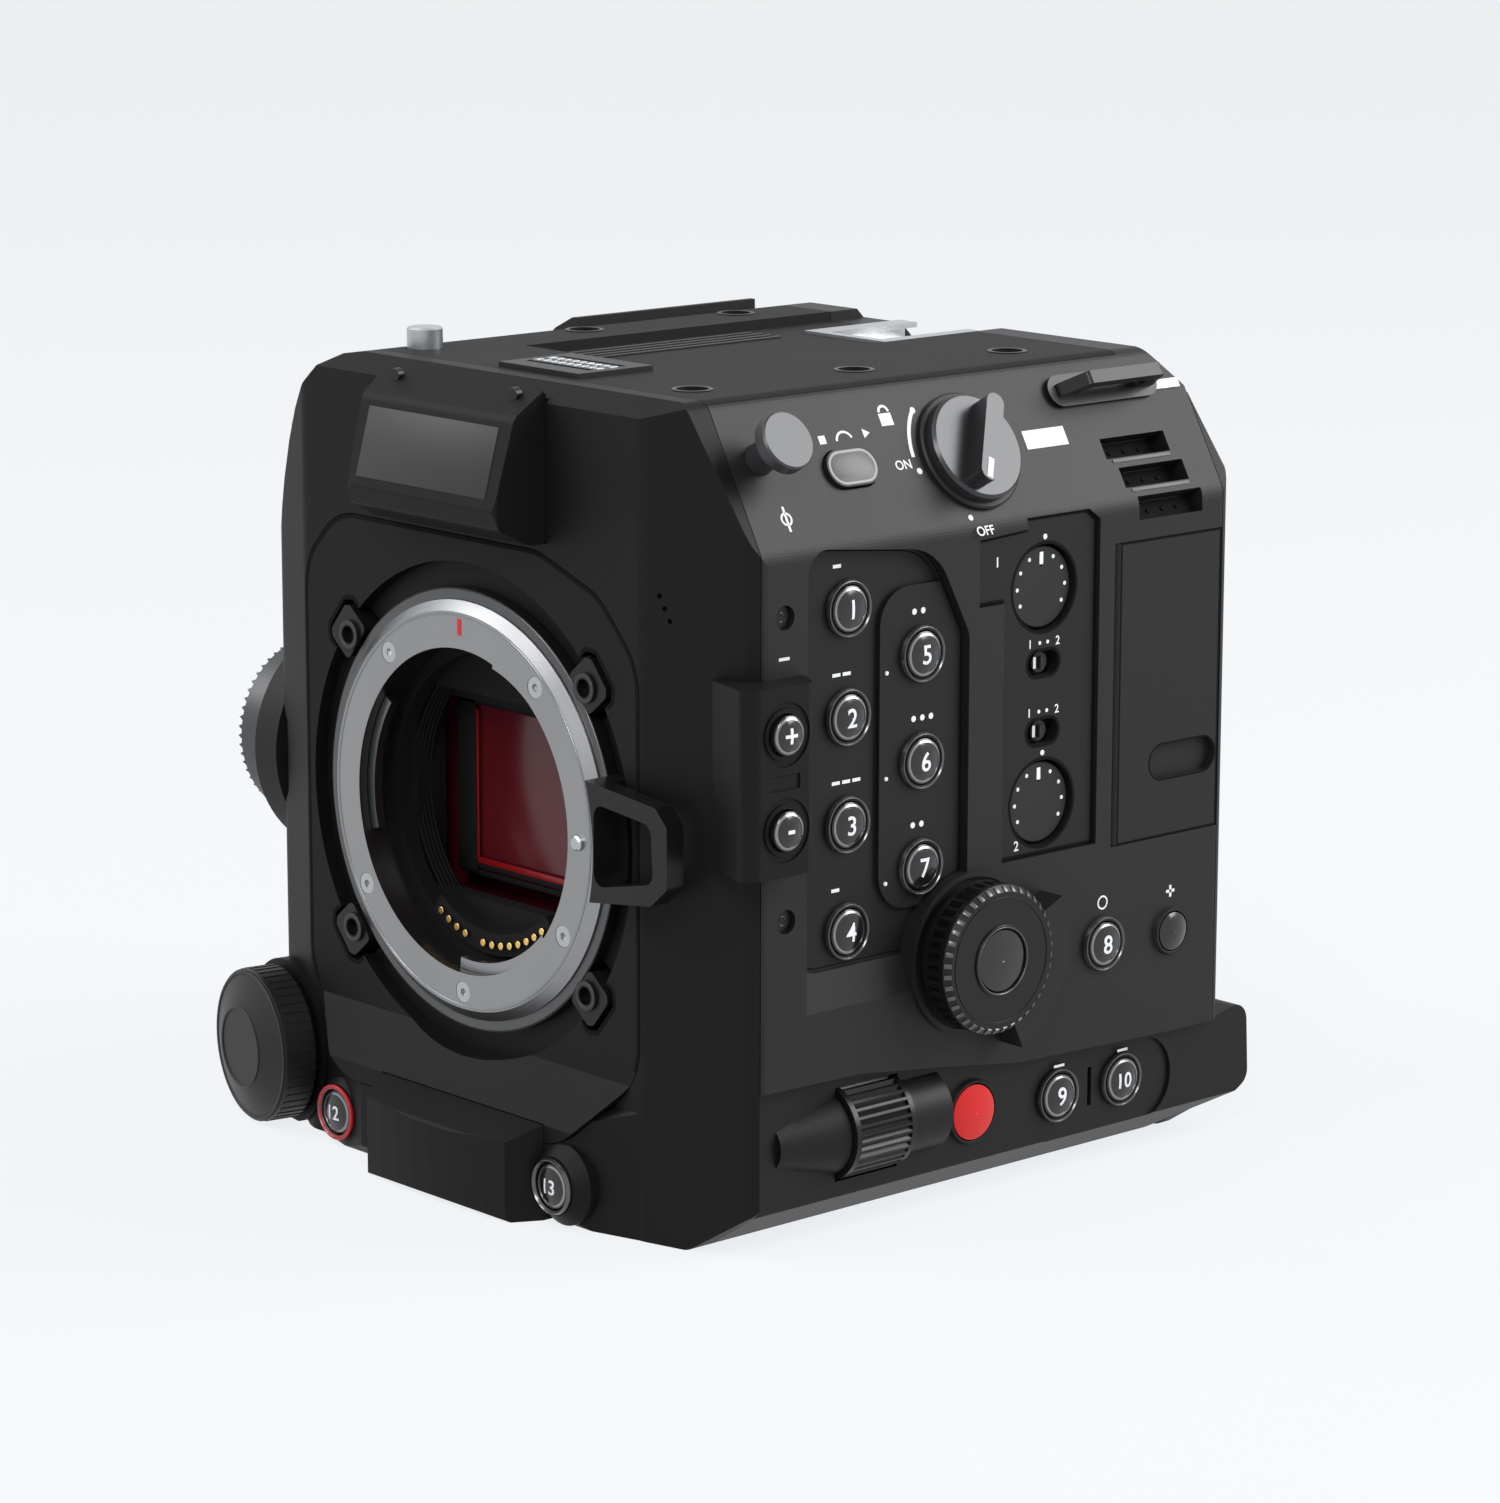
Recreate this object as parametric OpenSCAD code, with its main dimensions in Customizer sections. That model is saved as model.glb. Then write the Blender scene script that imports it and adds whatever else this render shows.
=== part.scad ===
// Digital cinema camera body without a lens, built as separate pieces.
// Millimetres. +X is the control side, -Y is the lens side, +Z is up.
// The origin is the mouth of the tripod socket, in the base under the lens axis.

/* [Body] */
// Height of the lens axis above the base
axis_h = 63; // [60:0.5:66]
// Height of the top plate above the lens axis
top_h = 72; // [71:0.5:76]
// Lens axis to the control side
side_r = 64; // [63:0.5:67]
// Lens axis to the far side
side_l = 58.5; // [57.5:0.5:62]
// Lens flange to the rear of the casing
rear_y = 113.5; // [113:0.5:120]
// Lens flange back to the front panel
panel_y = 1.5; // [1.2:0.1:2]
// Lens flange back to the tripod socket
socket_y = 52; // [48:1:56]
// Wall of the casings
wall = 2.4; // [2:0.1:2.6]
// Wall of the control side, which holds the button wells
side_wall = 7; // [6.8:0.1:7.6]

/* [Mount] */
// Radius of the lens throat
throat_r = 27; // [26:0.1:27.5]
// Outer radius of the flat of the steel ring
flat_r = 33; // [32.6:0.1:33.4]
// Lens flange back to the sensor
sensor_y = 20; // [19.5:0.5:22]
// Outer radius of the lock ring
lock_r = 36.6; // [36:0.1:37.4]
// Reach of the lock lever from the lens axis
lever_reach = 54.6; // [53:0.2:57.6]

/* [Buttons] */
// Radius of the domed buttons
dome_r = 3.65; // [3.2:0.05:3.8]
// Spacing of the buttons in a column
button_pitch = 17.25; // [16.5:0.05:17.5]
// Travel of every button
button_travel = 0.6; // [0.4:0.1:0.8]
// Radius of the record button
record_r = 4.6; // [4:0.1:5]

/* [Dials] */
// Radius of the select dial
select_r = 12.2; // [11:0.1:12.8]
// How far the select dial stands out of the side
select_h = 7.6; // [6:0.1:9]
// Radius of the power dial
power_r = 9; // [8:0.1:9.4]
// Radius of the level knobs
knob_r = 6.8; // [6:0.1:7]
// Radius of the drum wheel
drum_r = 8; // [7.2:0.1:8.2]

/* [Rosette] */
// Outer radius of the toothed rosette
rosette_r = 16; // [15:0.25:17]
// Number of teeth round the rosette
rosette_teeth = 60; // [40:4:80]

/* [Hidden] */

$fn = 48;
// Overrun of the cuts
over = 1;
// Gap between fixed pieces
seam = 0.15;
// Gap round moving pieces
gap = 0.3;
// Radial play of a shaft in its bore
fit = 0.05;
arc_steps = 6;
corner_share = 0.49;
// Small edge radius
soft = 1;

// Casing corners
base_cut_w = 12.5;
base_cut_h = 8;
shoulder_w = 13;
shoulder_h = 23;
crown_w = 28.5;
crown_h = 58;
crown_steps = 10;
front_flat = 43;
front_slant_d = 5.5;
rear_cut_w = 9;
rear_cut_h = 21;
rear_mid_w = 2.6;
rear_mid_h = 6.5;
corner_r = 6;
edge_r = 3;

// Where the casings meet
front_seam_y = 8;
top_t = 6;
top_left = 34;
top_front = 8;
top_back = 98;
control_seam = 42;
rail_x = 50;
rail_top = -40;

shade_dark = [0.055, 0.056, 0.06];
shade_mid = [0.085, 0.086, 0.09];
shade_steel = [0.72, 0.73, 0.74];
shade_gold = [0.85, 0.66, 0.3];
shade_red = [0.8, 0.07, 0.06];
shade_lamp = [0.75, 0.76, 0.78];
shade_board = [0.08, 0.22, 0.12];
shade_glass = [0.32, 0.03, 0.04];

function unit(v) = v / norm(v);
function clip(v) = max(-1, min(1, v));
function rect(a, b) = [a, [b[0], a[1]], b, [a[0], b[1]]];
function on_circle(r, a) = [r * cos(a), r * sin(a)];
// Points given as shares of a width and a height
function scaled(shares, w, h) = [for (s = shares) [s[0] * w, s[1] * h]];

// Points that round corner b, between a and c, to radius r
function round_corner(a, b, c, r, n) =
    let (u = unit(a - b), w = unit(c - b), half = acos(clip(u * w)) / 2,
         reach = min(r / tan(half), corner_share * min(norm(a - b), norm(c - b))),
         centre = b + unit(u + w) * reach / cos(half),
         p = b + u * reach - centre, q = b + w * reach - centre,
         start = atan2(p[1], p[0]), turn = atan2(p[0] * q[1] - p[1] * q[0], p * q))
    r <= 0 ? [b] : [for (i = [0:n]) centre + on_circle(norm(p), start + turn * i / n)];

// A closed outline with every corner rounded; radii is one number or one for each corner
function rounded(points, radii, n = arc_steps) =
    let (m = len(points))
    [for (i = [0:m - 1]) each round_corner(points[(i + m - 1) % m], points[i], points[(i + 1) % m],
                                           is_list(radii) ? radii[i] : radii, n)];

// Normal of edge a to b that points into a counter-clockwise outline
function inward(a, b) = let (d = unit(b - a)) [-d[1], d[0]];
// A counter-clockwise outline moved inwards by d
function inset(points, d) =
    let (m = len(points))
    [for (i = [0:m - 1])
        let (n1 = inward(points[(i + m - 1) % m], points[i]), n2 = inward(points[i], points[(i + 1) % m]))
        points[i] + (n1 + n2) * d / (1 + n1 * n2)];

// Everything is placed from the middle of the lens flange
module at_mount() translate([0, -socket_y, axis_h]) children();
module along_x(a, b) rotate([90, 0, 90]) translate([0, 0, a]) linear_extrude(b - a) children();
module along_y(a, b) rotate([90, 0, 0]) translate([0, 0, -b]) linear_extrude(b - a) children();
module along_z(a, b) translate([0, 0, a]) linear_extrude(b - a) children();
module span(a, b) translate(a) cube(b - a);
// A plug of radius r from height a to height b
module plug(r, a, b) translate([0, 0, a]) cylinder(r = r, h = b - a);

// Local Z points out of the control side, local X to the rear, local Y up
module on_side(y, z, x = side_r) translate([x, y, z]) rotate([90, 0, 90]) children();
// Local Z points out of the front, local X to the control side
module on_front(x, z, y = panel_y) translate([x, y, z]) rotate([90, 0, 0]) children();
// Local Z points out of the far side, local X to the front
module on_left(y, z, x = -side_l) translate([x, y, z]) rotate([90, 0, -90]) children();
// Local Z points out of the rear
module on_rear(x, z, y = rear_y) translate([x, y, z]) rotate([90, 0, 180]) children();
// Local Z points out of the sloping shoulder; d runs down the slope from its top edge
shoulder_tilt = atan2(shoulder_w, shoulder_h);
module on_shoulder(y, d)
    translate([side_r - shoulder_w, y, top_h]) rotate([0, -shoulder_tilt, 0])
    rotate([90, 0, 90]) translate([0, -d, 0]) children();

section_points = concat(
    [[side_r - base_cut_w, -axis_h], [side_r, -axis_h + base_cut_h],
     [side_r, top_h - shoulder_h], [side_r - shoulder_w, top_h]],
    [for (i = [0:crown_steps])
        let (a = 90 + 90 * i / crown_steps)
        [-side_l + crown_w * (1 + cos(a)), top_h - crown_h * (1 - sin(a))]],
    [[-side_l, -axis_h + base_cut_w], [-side_l + base_cut_w, -axis_h]]);
section_radii = concat([edge_r, edge_r, corner_r, edge_r], [for (i = [0:crown_steps]) 0], [edge_r, edge_r]);
plan_points = [
    [-side_l, panel_y + front_slant_d], [-front_flat, panel_y], [front_flat, panel_y],
    [side_r, panel_y + front_slant_d], [side_r, rear_y], [-side_l, rear_y]];
plan_radii = [corner_r, corner_r, corner_r, edge_r, edge_r, edge_r];
profile_points = [
    [panel_y, -axis_h], [rear_y, -axis_h], [rear_y, top_h - rear_cut_h],
    [rear_y - rear_mid_w, top_h - rear_mid_h], [rear_y - rear_cut_w, top_h],
    [panel_y + edge_r, top_h], [panel_y, top_h - edge_r]];

// The casing's outer volume, moved inwards by d
module form(d = 0) intersection() {
    along_y(panel_y + d, rear_y - d) polygon(rounded(inset(section_points, d), section_radii));
    along_z(-axis_h + d, top_h - d) polygon(rounded(inset(plan_points, d), plan_radii));
    along_x(-side_l, side_r) polygon(inset(profile_points, d));
}

// Opening for the top plate, shared by the covers round it
module top_pocket(d = seam)
    span([-top_left - d, top_front - d, top_h - top_t - d], [side_r - shoulder_w + d, top_back + d, top_h + over]);

// Outline of the panel round the mount, seen from the front
panel_w = 43;
panel_h = 50;
panel_share = [[-1, -0.68], [-0.7, -1], [0.65, -1], [0.99, -0.72], [0.99, 0.6], [0.77, 0.8], [0.42, 0.906],
               [-0.79, 0.906], [-1, 0.72]];
panel_points = scaled(panel_share, panel_w, panel_h);
panel_corner = 12;
panel_back = 6.4;
ledge_top = -38;
ledge_low = -47;
ledge_reach = -3;
well_r = 41;
well_y = 4;
module panel_outline(d = 0) polygon(rounded(inset(panel_points, d), panel_corner));

// Sill under the panel, and the wedge that both share
sill_w = 46;
sill_share = [[-0.95, 0], [-0.52, 1], [0.58, 1], [1, 0]];
sill_top = -42;
sill_cut = 2;

// Steel ring and what surrounds it
bevel_w = 1.7;
bevel_h = 1.3;
rim_y = 1.6;
neck_r = 33.4;
foot_r = 35.5;
foot_y = 4.8;
relief = 0.4;
chassis_y = 6.6;
tab_w = 1.8;
tab_y = 1.8;
tab_t = 1.6;
tab_arc = 52;
tab_angles = [50, 170, 290];
screw_angles = [128, 51, -32, -90, -147];
screw_ring_r = 30.2;
head_r = 1.75;
head_t = 1.2;
shank_r = 0.9;
pin_ring_r = 29.6;
pin_r = 1.25;
pin_out = 0.8;
pin_travel = 1.1;

// Lugs at the four corners of the mount
lug_x = 30.3;
lug_z = 25;
lug_signs = [[1, 1], [-1, 1], [-1, -1], [1, -1]];
lug_in = 2.3;
lug_out = 4.1;
lug_w = 3.8;
lug_y = 1.1;
lug_clear = 0.9;
lug_ring_r = 2.5;
lug_ring_w = 1;
lug_ring_h = 0.5;
module at_lugs() for (s = lug_signs) on_front(s[0] * lug_x, s[1] * lug_z, 0)
    rotate([0, 0, atan2(s[1] * lug_z, s[0] * lug_x)]) children();
function lug_outline(d = 0) = rounded(inset([
    [-lug_in, -lug_w], [lug_out - soft, -lug_w], [lug_out, -lug_w + soft], [lug_out, lug_w - soft],
    [lug_out - soft, lug_w], [-lug_in, lug_w]], d), soft);

// Front buttons, round terminal and microphone holes
b12_x = -31.7;
b12_z = -57;
b12_boss_r = 5.8;
b12_face = -1.9;
b13_x = 28.2;
b13_z = -56;
b13_boss_r = 6.9;
b13_face = -4.4;
mic_x = 46.5;
mic_z = 41.7;
mic_r = 0.45;
mic_pitch = 1.9;
cap_x = -53.4;
cap_z = -49.3;
cap_r = 13.2;
cap_face = -6.2;
cap_tilt = 10;
cap_t = 8.7;
cap_cone = 2.2;
cap_flat_r = 7;
collar_r = 14.2;
collar_back = 19;
spigot_r = 9;
spigot_h = 4.4;
module at_cap() translate([cap_x, cap_face, cap_z]) rotate([90, 0, -cap_tilt]) children();

// Buttons: face above their panel, skirt below it, and the ring round each
dome_rise = 0.7;
button_face = 1.5;
button_depth = 1.6;
button_gap = 0.25;
bezel_w = 0.95;
bezel_h = 0.8;
bezel_edge = 0.3;
well_depth = button_depth + button_travel + gap;
module bezel(r, w = bezel_w, h = bezel_h) rotate_extrude()
    polygon([[r, -bezel_edge], [r + w, -bezel_edge], [r + w, 0], [r + w - bezel_edge, h], [r + bezel_edge, h],
             [r, h - bezel_edge]]);
function dome_sphere(r, rise) = (r * r + rise * rise) / (2 * rise);
module button_shape(r = dome_r, face = button_face, depth = button_depth, rise = dome_rise) intersection() {
    plug(r, -depth, face);
    translate([0, 0, face - dome_sphere(r, rise)]) sphere(r = dome_sphere(r, rise), $fn = 96);
}
module button_well(r = dome_r, depth = well_depth) plug(r + button_gap, -depth, button_face + over);

// Round boss that stands up by h, with a sloped edge
module boss(r, h, edge) rotate_extrude()
    polygon([[0, 0], [r, 0], [r, h - edge], [r - edge, h], [0, h]]);

// Cover over the mount, with its bare plate
hood_w = 20;
hood_base_z = 46.6;
hood_lip_y = -8;
hood_lip_z = 50.4;
hood_brow_y = -4;
hood_brow_z = 67;
hood_top_z = 71;
hood_taper = 1.2;
hood_screw_x = 15;
hood_screw_tilt = 30;
hood_screw_r = 1.3;
groove_w = 0.5;
groove_d = 0.7;
module hood() intersection() {
    along_x(-hood_w, hood_w) polygon(rounded([
        [panel_y, hood_base_z], [panel_y - edge_r, hood_base_z], [hood_lip_y + soft, hood_lip_z - soft],
        [hood_lip_y, hood_lip_z + 2 * soft], [hood_brow_y, hood_brow_z], [panel_y, hood_top_z]],
        [0, edge_r, soft, soft, edge_r, 0]));
    along_z(hood_base_z, hood_top_z) polygon(rounded([
        [-hood_w, panel_y], [-hood_w + hood_taper, hood_lip_y], [hood_w - hood_taper, hood_lip_y],
        [hood_w, panel_y]], [0, soft, soft, 0]));
}

chin_x = 3;
chin_w = 42;
chin_front_w = 36;
chin_top = -47;
chin_drop = 3;
chin_reach = 9.8;
chin_bow = 1.2;
chin_steps = 8;
module chin_space(d) span([chin_x - chin_w / 2 - d, -chin_reach - over, -axis_h - over],
                          [chin_x + chin_w / 2 + d, panel_y, chin_top + d]);

module sill() intersection() {
    along_z(-axis_h, sill_top) polygon([for (s = sill_share) [s[0] * sill_w, s[1] > 0 ? ledge_reach : panel_y + over]]);
    along_x(-sill_w, sill_w) polygon([
        [panel_y + over, sill_top], [panel_y, sill_top], [ledge_reach, ledge_low],
        [ledge_reach, -axis_h + sill_cut], [ledge_reach + sill_cut, -axis_h], [panel_y + over, -axis_h]]);
}

module front_cover() color(shade_dark) at_mount() difference() {
    union() {
        intersection() {
            difference() { form(); form(wall); }
            span([-side_l, 0, -axis_h], [side_r, front_seam_y, top_h]);
        }
        sill();
        hood();
        on_front(b12_x, b12_z, panel_y + over) boss(b12_boss_r, panel_y + over - b12_face, soft);
        on_front(b13_x, b13_z, panel_y + over) boss(b13_boss_r, panel_y + over - b13_face, 2 * soft);
        intersection() {
            union() {
                at_cap() plug(collar_r, -collar_back, -cap_t - gap);
                at_cap() plug(spigot_r, -cap_t - over, -cap_t + spigot_h);
            }
            span([-side_l - collar_r, cap_face - cap_t, -axis_h], [0, front_seam_y, top_h]);
        }
    }
    along_y(ledge_reach - over, panel_y + wall + over) panel_outline(-seam);
    top_pocket();
    on_left(rosette_y, 0, -side_l + wall) plug(rosette_base_r + seam, -wall, rosette_base_h + over);
    front_lamp(fit);
    on_front(b12_x, b12_z, b12_face) button_well();
    on_front(b13_x, b13_z, b13_face) button_well();
    for (i = [0:2]) on_front(mic_x + i * mic_pitch / 2, mic_z - i * mic_pitch, 0) plug(mic_r, -panel_y - 2 * over, over);
    at_cap() plug(spigot_r - wall, -collar_back - over, over);
    chin_space(seam);
    for (s = [-1, 1]) translate([s * hood_screw_x, hood_brow_y, hood_brow_z]) rotate([hood_screw_tilt, 0, 0])
        plug(hood_screw_r, panel_y, hood_top_z);
    span([hood_w, panel_y - over, hood_base_z], [hood_w + groove_w, panel_y + groove_d, hood_top_z]);
}

module mount_panel() color(shade_dark) at_mount() difference() {
    union() {
        along_y(panel_y, panel_back) panel_outline();
        intersection() {
            along_y(ledge_reach, panel_back) panel_outline();
            along_x(-panel_w, panel_w) polygon([
                [panel_y + over, ledge_top], [panel_y, ledge_top], [ledge_reach, ledge_low],
                [ledge_reach, -panel_h], [panel_y + over, -panel_h]]);
        }
    }
    on_front(0, 0, 0) plug(well_r, -well_y, -ledge_reach + over);
    on_front(0, 0, 0) plug(foot_r + seam, -panel_back - over, 0);
    at_lugs() translate([0, 0, -panel_back - over]) linear_extrude(2 * panel_back) polygon(lug_outline(-lug_clear));
    chin_space(seam);
}

module chin() color(shade_dark) at_mount() intersection() {
    along_z(-axis_h, chin_top) polygon(concat(
        [[chin_x + chin_w / 2, panel_y], [chin_x - chin_w / 2, panel_y], [chin_x - chin_w / 2, -chin_drop]],
        [for (i = [0:chin_steps]) let (t = i / chin_steps)
            [chin_x + chin_front_w * (t - 1 / 2), -chin_reach + chin_bow * (2 * t - 1) * (2 * t - 1)]],
        [[chin_x + chin_w / 2, -chin_drop]]));
    along_x(chin_x - chin_w / 2, chin_x + chin_w / 2) polygon(rounded([
        [panel_y, -axis_h], [panel_y, chin_top], [-chin_drop, chin_top], [-chin_reach, chin_top - chin_drop],
        [-chin_reach, -axis_h + soft], [-chin_reach + 2 * soft, -axis_h]], [0, 0, soft, soft, 0, 0]));
}

// Steel mount ring: z runs out of the lens side from the flange
module mount_ring() color(shade_steel) at_mount() on_front(0, 0, 0) difference() {
    union() {
        rotate_extrude($fn = 96) polygon([
            [throat_r, 0], [flat_r, 0], [flat_r + bevel_w, -bevel_h], [flat_r + bevel_w, -rim_y], [neck_r, -rim_y],
            [neck_r, -foot_y], [foot_r, -foot_y], [foot_r, -chassis_y], [throat_r + relief, -chassis_y],
            [throat_r + relief, -rim_y], [throat_r, -rim_y]]);
        for (a = tab_angles) intersection() {
            difference() { plug(throat_r + relief + soft, -tab_y - tab_t, -tab_y); plug(throat_r - tab_w, -chassis_y, 0); }
            translate([0, 0, -chassis_y]) linear_extrude(chassis_y) polygon(concat([[0, 0]],
                [for (i = [-3:3]) on_circle(2 * throat_r, a + tab_arc * i / 6)]));
        }
    }
    for (a = screw_angles) rotate([0, 0, a]) translate([screw_ring_r, 0, 0]) {
        plug(head_r + fit, -head_t, over);
        plug(shank_r + fit, -chassis_y - over, 0);
    }
    translate([pin_ring_r, 0, 0]) plug(pin_r + fit, -chassis_y - over, over);
}

module lock_pin() color(shade_steel) at_mount() on_front(pin_ring_r, 0, 0)
    boss_pin(pin_r, -chassis_y + pin_travel + gap, pin_out);
module boss_pin(r, a, b) rotate_extrude() polygon([[0, a], [r, a], [r, b - gap], [r - gap, b], [0, b]]);

// Lock ring with its loop lever
lever_y = -3.2;
lever_back = 0.2;
lever_share = [[0.6, 0.215], [0.95, 0.18], [1, 0.13], [1, -0.05], [0.93, -0.11], [0.6, -0.155]];
lever_hole_share = [[0.68, 0.15], [0.93, 0.125], [0.94, -0.045], [0.68, -0.1]];
lock_y0 = 1.8;
lock_y1 = 3.7;
module lock_ring() color(shade_dark) at_mount() on_front(0, 0, 0) difference() {
    union() {
        plug(lock_r, -lock_y1, -lock_y0);
        intersection() {
            linear_extrude_between(-lock_y1, -lever_y) polygon(rounded(reversed(scaled(lever_share, lever_reach, lever_reach)), soft));
            union() {
                linear_extrude_between(-lever_back, -lever_y) square(3 * lever_reach, center = true);
                plug(lock_r + edge_r, -lock_y1, -lever_y);
            }
        }
    }
    plug(neck_r + fit, -foot_y, -lever_y + over);
    difference() {
        plug(lock_r + gap, -lock_y0, -lever_y + over);
        plug(neck_r, -foot_y, 0);
    }
    linear_extrude_between(-lock_y0, -lever_y + over)
        polygon(rounded(reversed(scaled(lever_hole_share, lever_reach, lever_reach)), 2 * soft));
}
function reversed(points) = [for (i = [len(points) - 1:-1:0]) points[i]];
module linear_extrude_between(a, b) translate([0, 0, a]) linear_extrude(b - a) children();

module mount_lugs() color(shade_dark) at_mount() at_lugs() difference() {
    union() {
        translate([0, 0, -chassis_y]) linear_extrude(chassis_y - lug_y) polygon(lug_outline());
        plug(lug_ring_r, -lug_y, -lug_y + lug_ring_h);
    }
    plug(lug_ring_r - lug_ring_w, -lug_y - 2 * lug_ring_h, over);
}

// Contact block in the throat
contact_r = 23;
contact_w = 3.6;
contact_pin_r = 0.45;
contact_y = 5.8;
contact_out = 0.5;
contact_step = 5.75;
contact_angles = concat([for (i = [0:3]) -122 + i * contact_step], [for (i = [0:7]) -93 + i * contact_step]);
contact_lead = 5;
chassis_t = 3;
module contact_block() color(shade_gold) at_mount() on_front(0, 0, 0) {
    intersection() {
        difference() {
            plug(contact_r + contact_w / 2, -chassis_y - chassis_t, -contact_y);
            plug(contact_r - contact_w / 2, -chassis_y - chassis_t - over, 0);
        }
        translate([0, 0, -sensor_y]) linear_extrude(sensor_y) polygon(concat([[0, 0]],
            [for (i = [0:arc_steps]) on_circle(2 * contact_r, contact_angles[0] - contact_lead
                + (contact_angles[11] - contact_angles[0] + 2 * contact_lead) * i / arc_steps)]));
    }
    for (a = contact_angles) rotate([0, 0, a]) translate([contact_r, 0, 0]) plug(contact_pin_r, -contact_y - over, -contact_y + contact_out);
}

// Chassis: front plate, stepped light baffle, filter guides, rails and bulkhead
baffle_r = 25.2;
baffle_half = 32;
baffle_y = chassis_y + chassis_t;
baffle_t = 3;
frame_w = 41;
frame_h = 28;
baffle_steps = 3;
baffle_step = 1.6;
guide_w = 3;
filter_t = 1.6;
filter_w = 46;
filter_h = 33;
filter_park = 31.5;
post_x = 29;
post_z = 21;
post_r = 2.2;
rail_w = 6;
rail_mid_x = 46.8;
rail_low_z = -52;
rail_high_z = 45;
bulkhead_y = 60;
inner_right = 52;
inner_left = 49.5;
sensor_stack = 1.2;
guide_back = baffle_y + baffle_t + filter_t + 2 * gap + soft;
module chassis() color(shade_dark) at_mount() difference() {
    union() {
        intersection() {
            along_y(0, rear_y) polygon(rounded(inset(section_points, side_wall + seam), section_radii));
            union() {
                span([-inner_left, chassis_y, -axis_h], [inner_right, baffle_y, top_h - top_t - seam]);
                span([-inner_left, bulkhead_y, -axis_h], [inner_right, bulkhead_y + chassis_t, top_h - 2 * top_t]);
            }
        }
        span([-baffle_half, baffle_y, -baffle_half], [baffle_half, baffle_y + baffle_t, baffle_half]);
        for (s = [-1, 1], z = [rail_low_z, rail_high_z])
            span([s * rail_mid_x - rail_w / 2, baffle_y, z - rail_w / 2],
                 [s * rail_mid_x + rail_w / 2, bulkhead_y, z + rail_w / 2]);
        for (s = [-1, 1]) span([s * (filter_w / 2 + gap + guide_w / 2) - guide_w / 2, baffle_y, -filter_h / 2 - guide_w],
                               [s * (filter_w / 2 + gap + guide_w / 2) + guide_w / 2, guide_back, filter_park + filter_h / 2]);
        for (x = [-post_x, post_x], z = [-post_z, post_z])
            on_front(x, z, sensor_y + sensor_stack) plug(post_r, 0, sensor_y + sensor_stack - baffle_y);
    }
    on_front(0, 0, 0) plug(baffle_r, -baffle_y, 0);
    for (i = [0:baffle_steps - 1]) along_y(baffle_y + baffle_t * i / baffle_steps, sensor_y)
        polygon(rounded(rect([-frame_w / 2 - baffle_step * (baffle_steps - 1 - i), -frame_h / 2 - baffle_step * (baffle_steps - 1 - i)],
                             [frame_w / 2 + baffle_step * (baffle_steps - 1 - i), frame_h / 2 + baffle_step * (baffle_steps - 1 - i)]), soft));
    for (a = screw_angles) on_front(0, 0, 0) rotate([0, 0, a]) translate([screw_ring_r, 0, 0]) plug(shank_r + fit, -baffle_y, 0);
    on_front(pin_ring_r, 0, 0) plug(pin_r + gap, -baffle_y, 0);
    at_cap() plug(collar_r + seam, -2 * collar_back, 0);
    along_x(rail_x - seam, side_r) rail_outline(-seam);
    span([-2 * socket_wall - seam, baffle_y, -axis_h], [2 * socket_wall + seam, rear_y, -axis_h + socket_depth + wall + seam]);
    span([-rail_mid_x + rail_w, bulkhead_y - over, rail_low_z + rail_w], [rail_mid_x - rail_w, bulkhead_y + chassis_t + over, rail_high_z - rail_w]);
}

// Filter frame, parked above the throat
module nd_filter() color(shade_dark) at_mount() translate([0, baffle_y + baffle_t + gap, filter_park])
    along_y(0, filter_t) polygon(rounded(rect([-filter_w / 2, -filter_h / 2], [filter_w / 2, filter_h / 2]), soft));

sensor_w = 56;
sensor_h = 46;
window_w = 43;
window_h = 31;
board_t = 1.6;
module sensor_unit() color(shade_glass) at_mount() {
    along_y(sensor_y + sensor_stack, sensor_y + sensor_stack + board_t)
        polygon(rect([-post_x - 2 * post_r, -post_z - post_r], [post_x + 2 * post_r, post_z + post_r]));
    along_y(sensor_y - 2 * sensor_stack, sensor_y + sensor_stack)
        polygon(rounded(rect([-window_w / 2, -window_h / 2], [window_w / 2, window_h / 2]), soft));
}

// Main board with its chips
board_y = 28;
chip_t = 2.2;
chip_share = [[0.45, 0.4, 0.24], [-0.35, 0.45, 0.2], [-0.4, -0.35, 0.26], [0.35, -0.45, 0.16]];
module main_board() color(shade_board) at_mount() {
    span([-rail_mid_x + rail_w / 2 + gap, board_y, rail_low_z], [rail_mid_x - rail_w / 2 - gap, board_y + board_t, rail_high_z]);
    for (c = chip_share) translate([c[0] * rail_mid_x, board_y + board_t, c[1] * rail_high_z])
        translate([-c[2] * rail_mid_x / 2, 0, -c[2] * rail_mid_x / 2]) cube([c[2] * rail_mid_x, chip_t, c[2] * rail_mid_x]);
}

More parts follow.
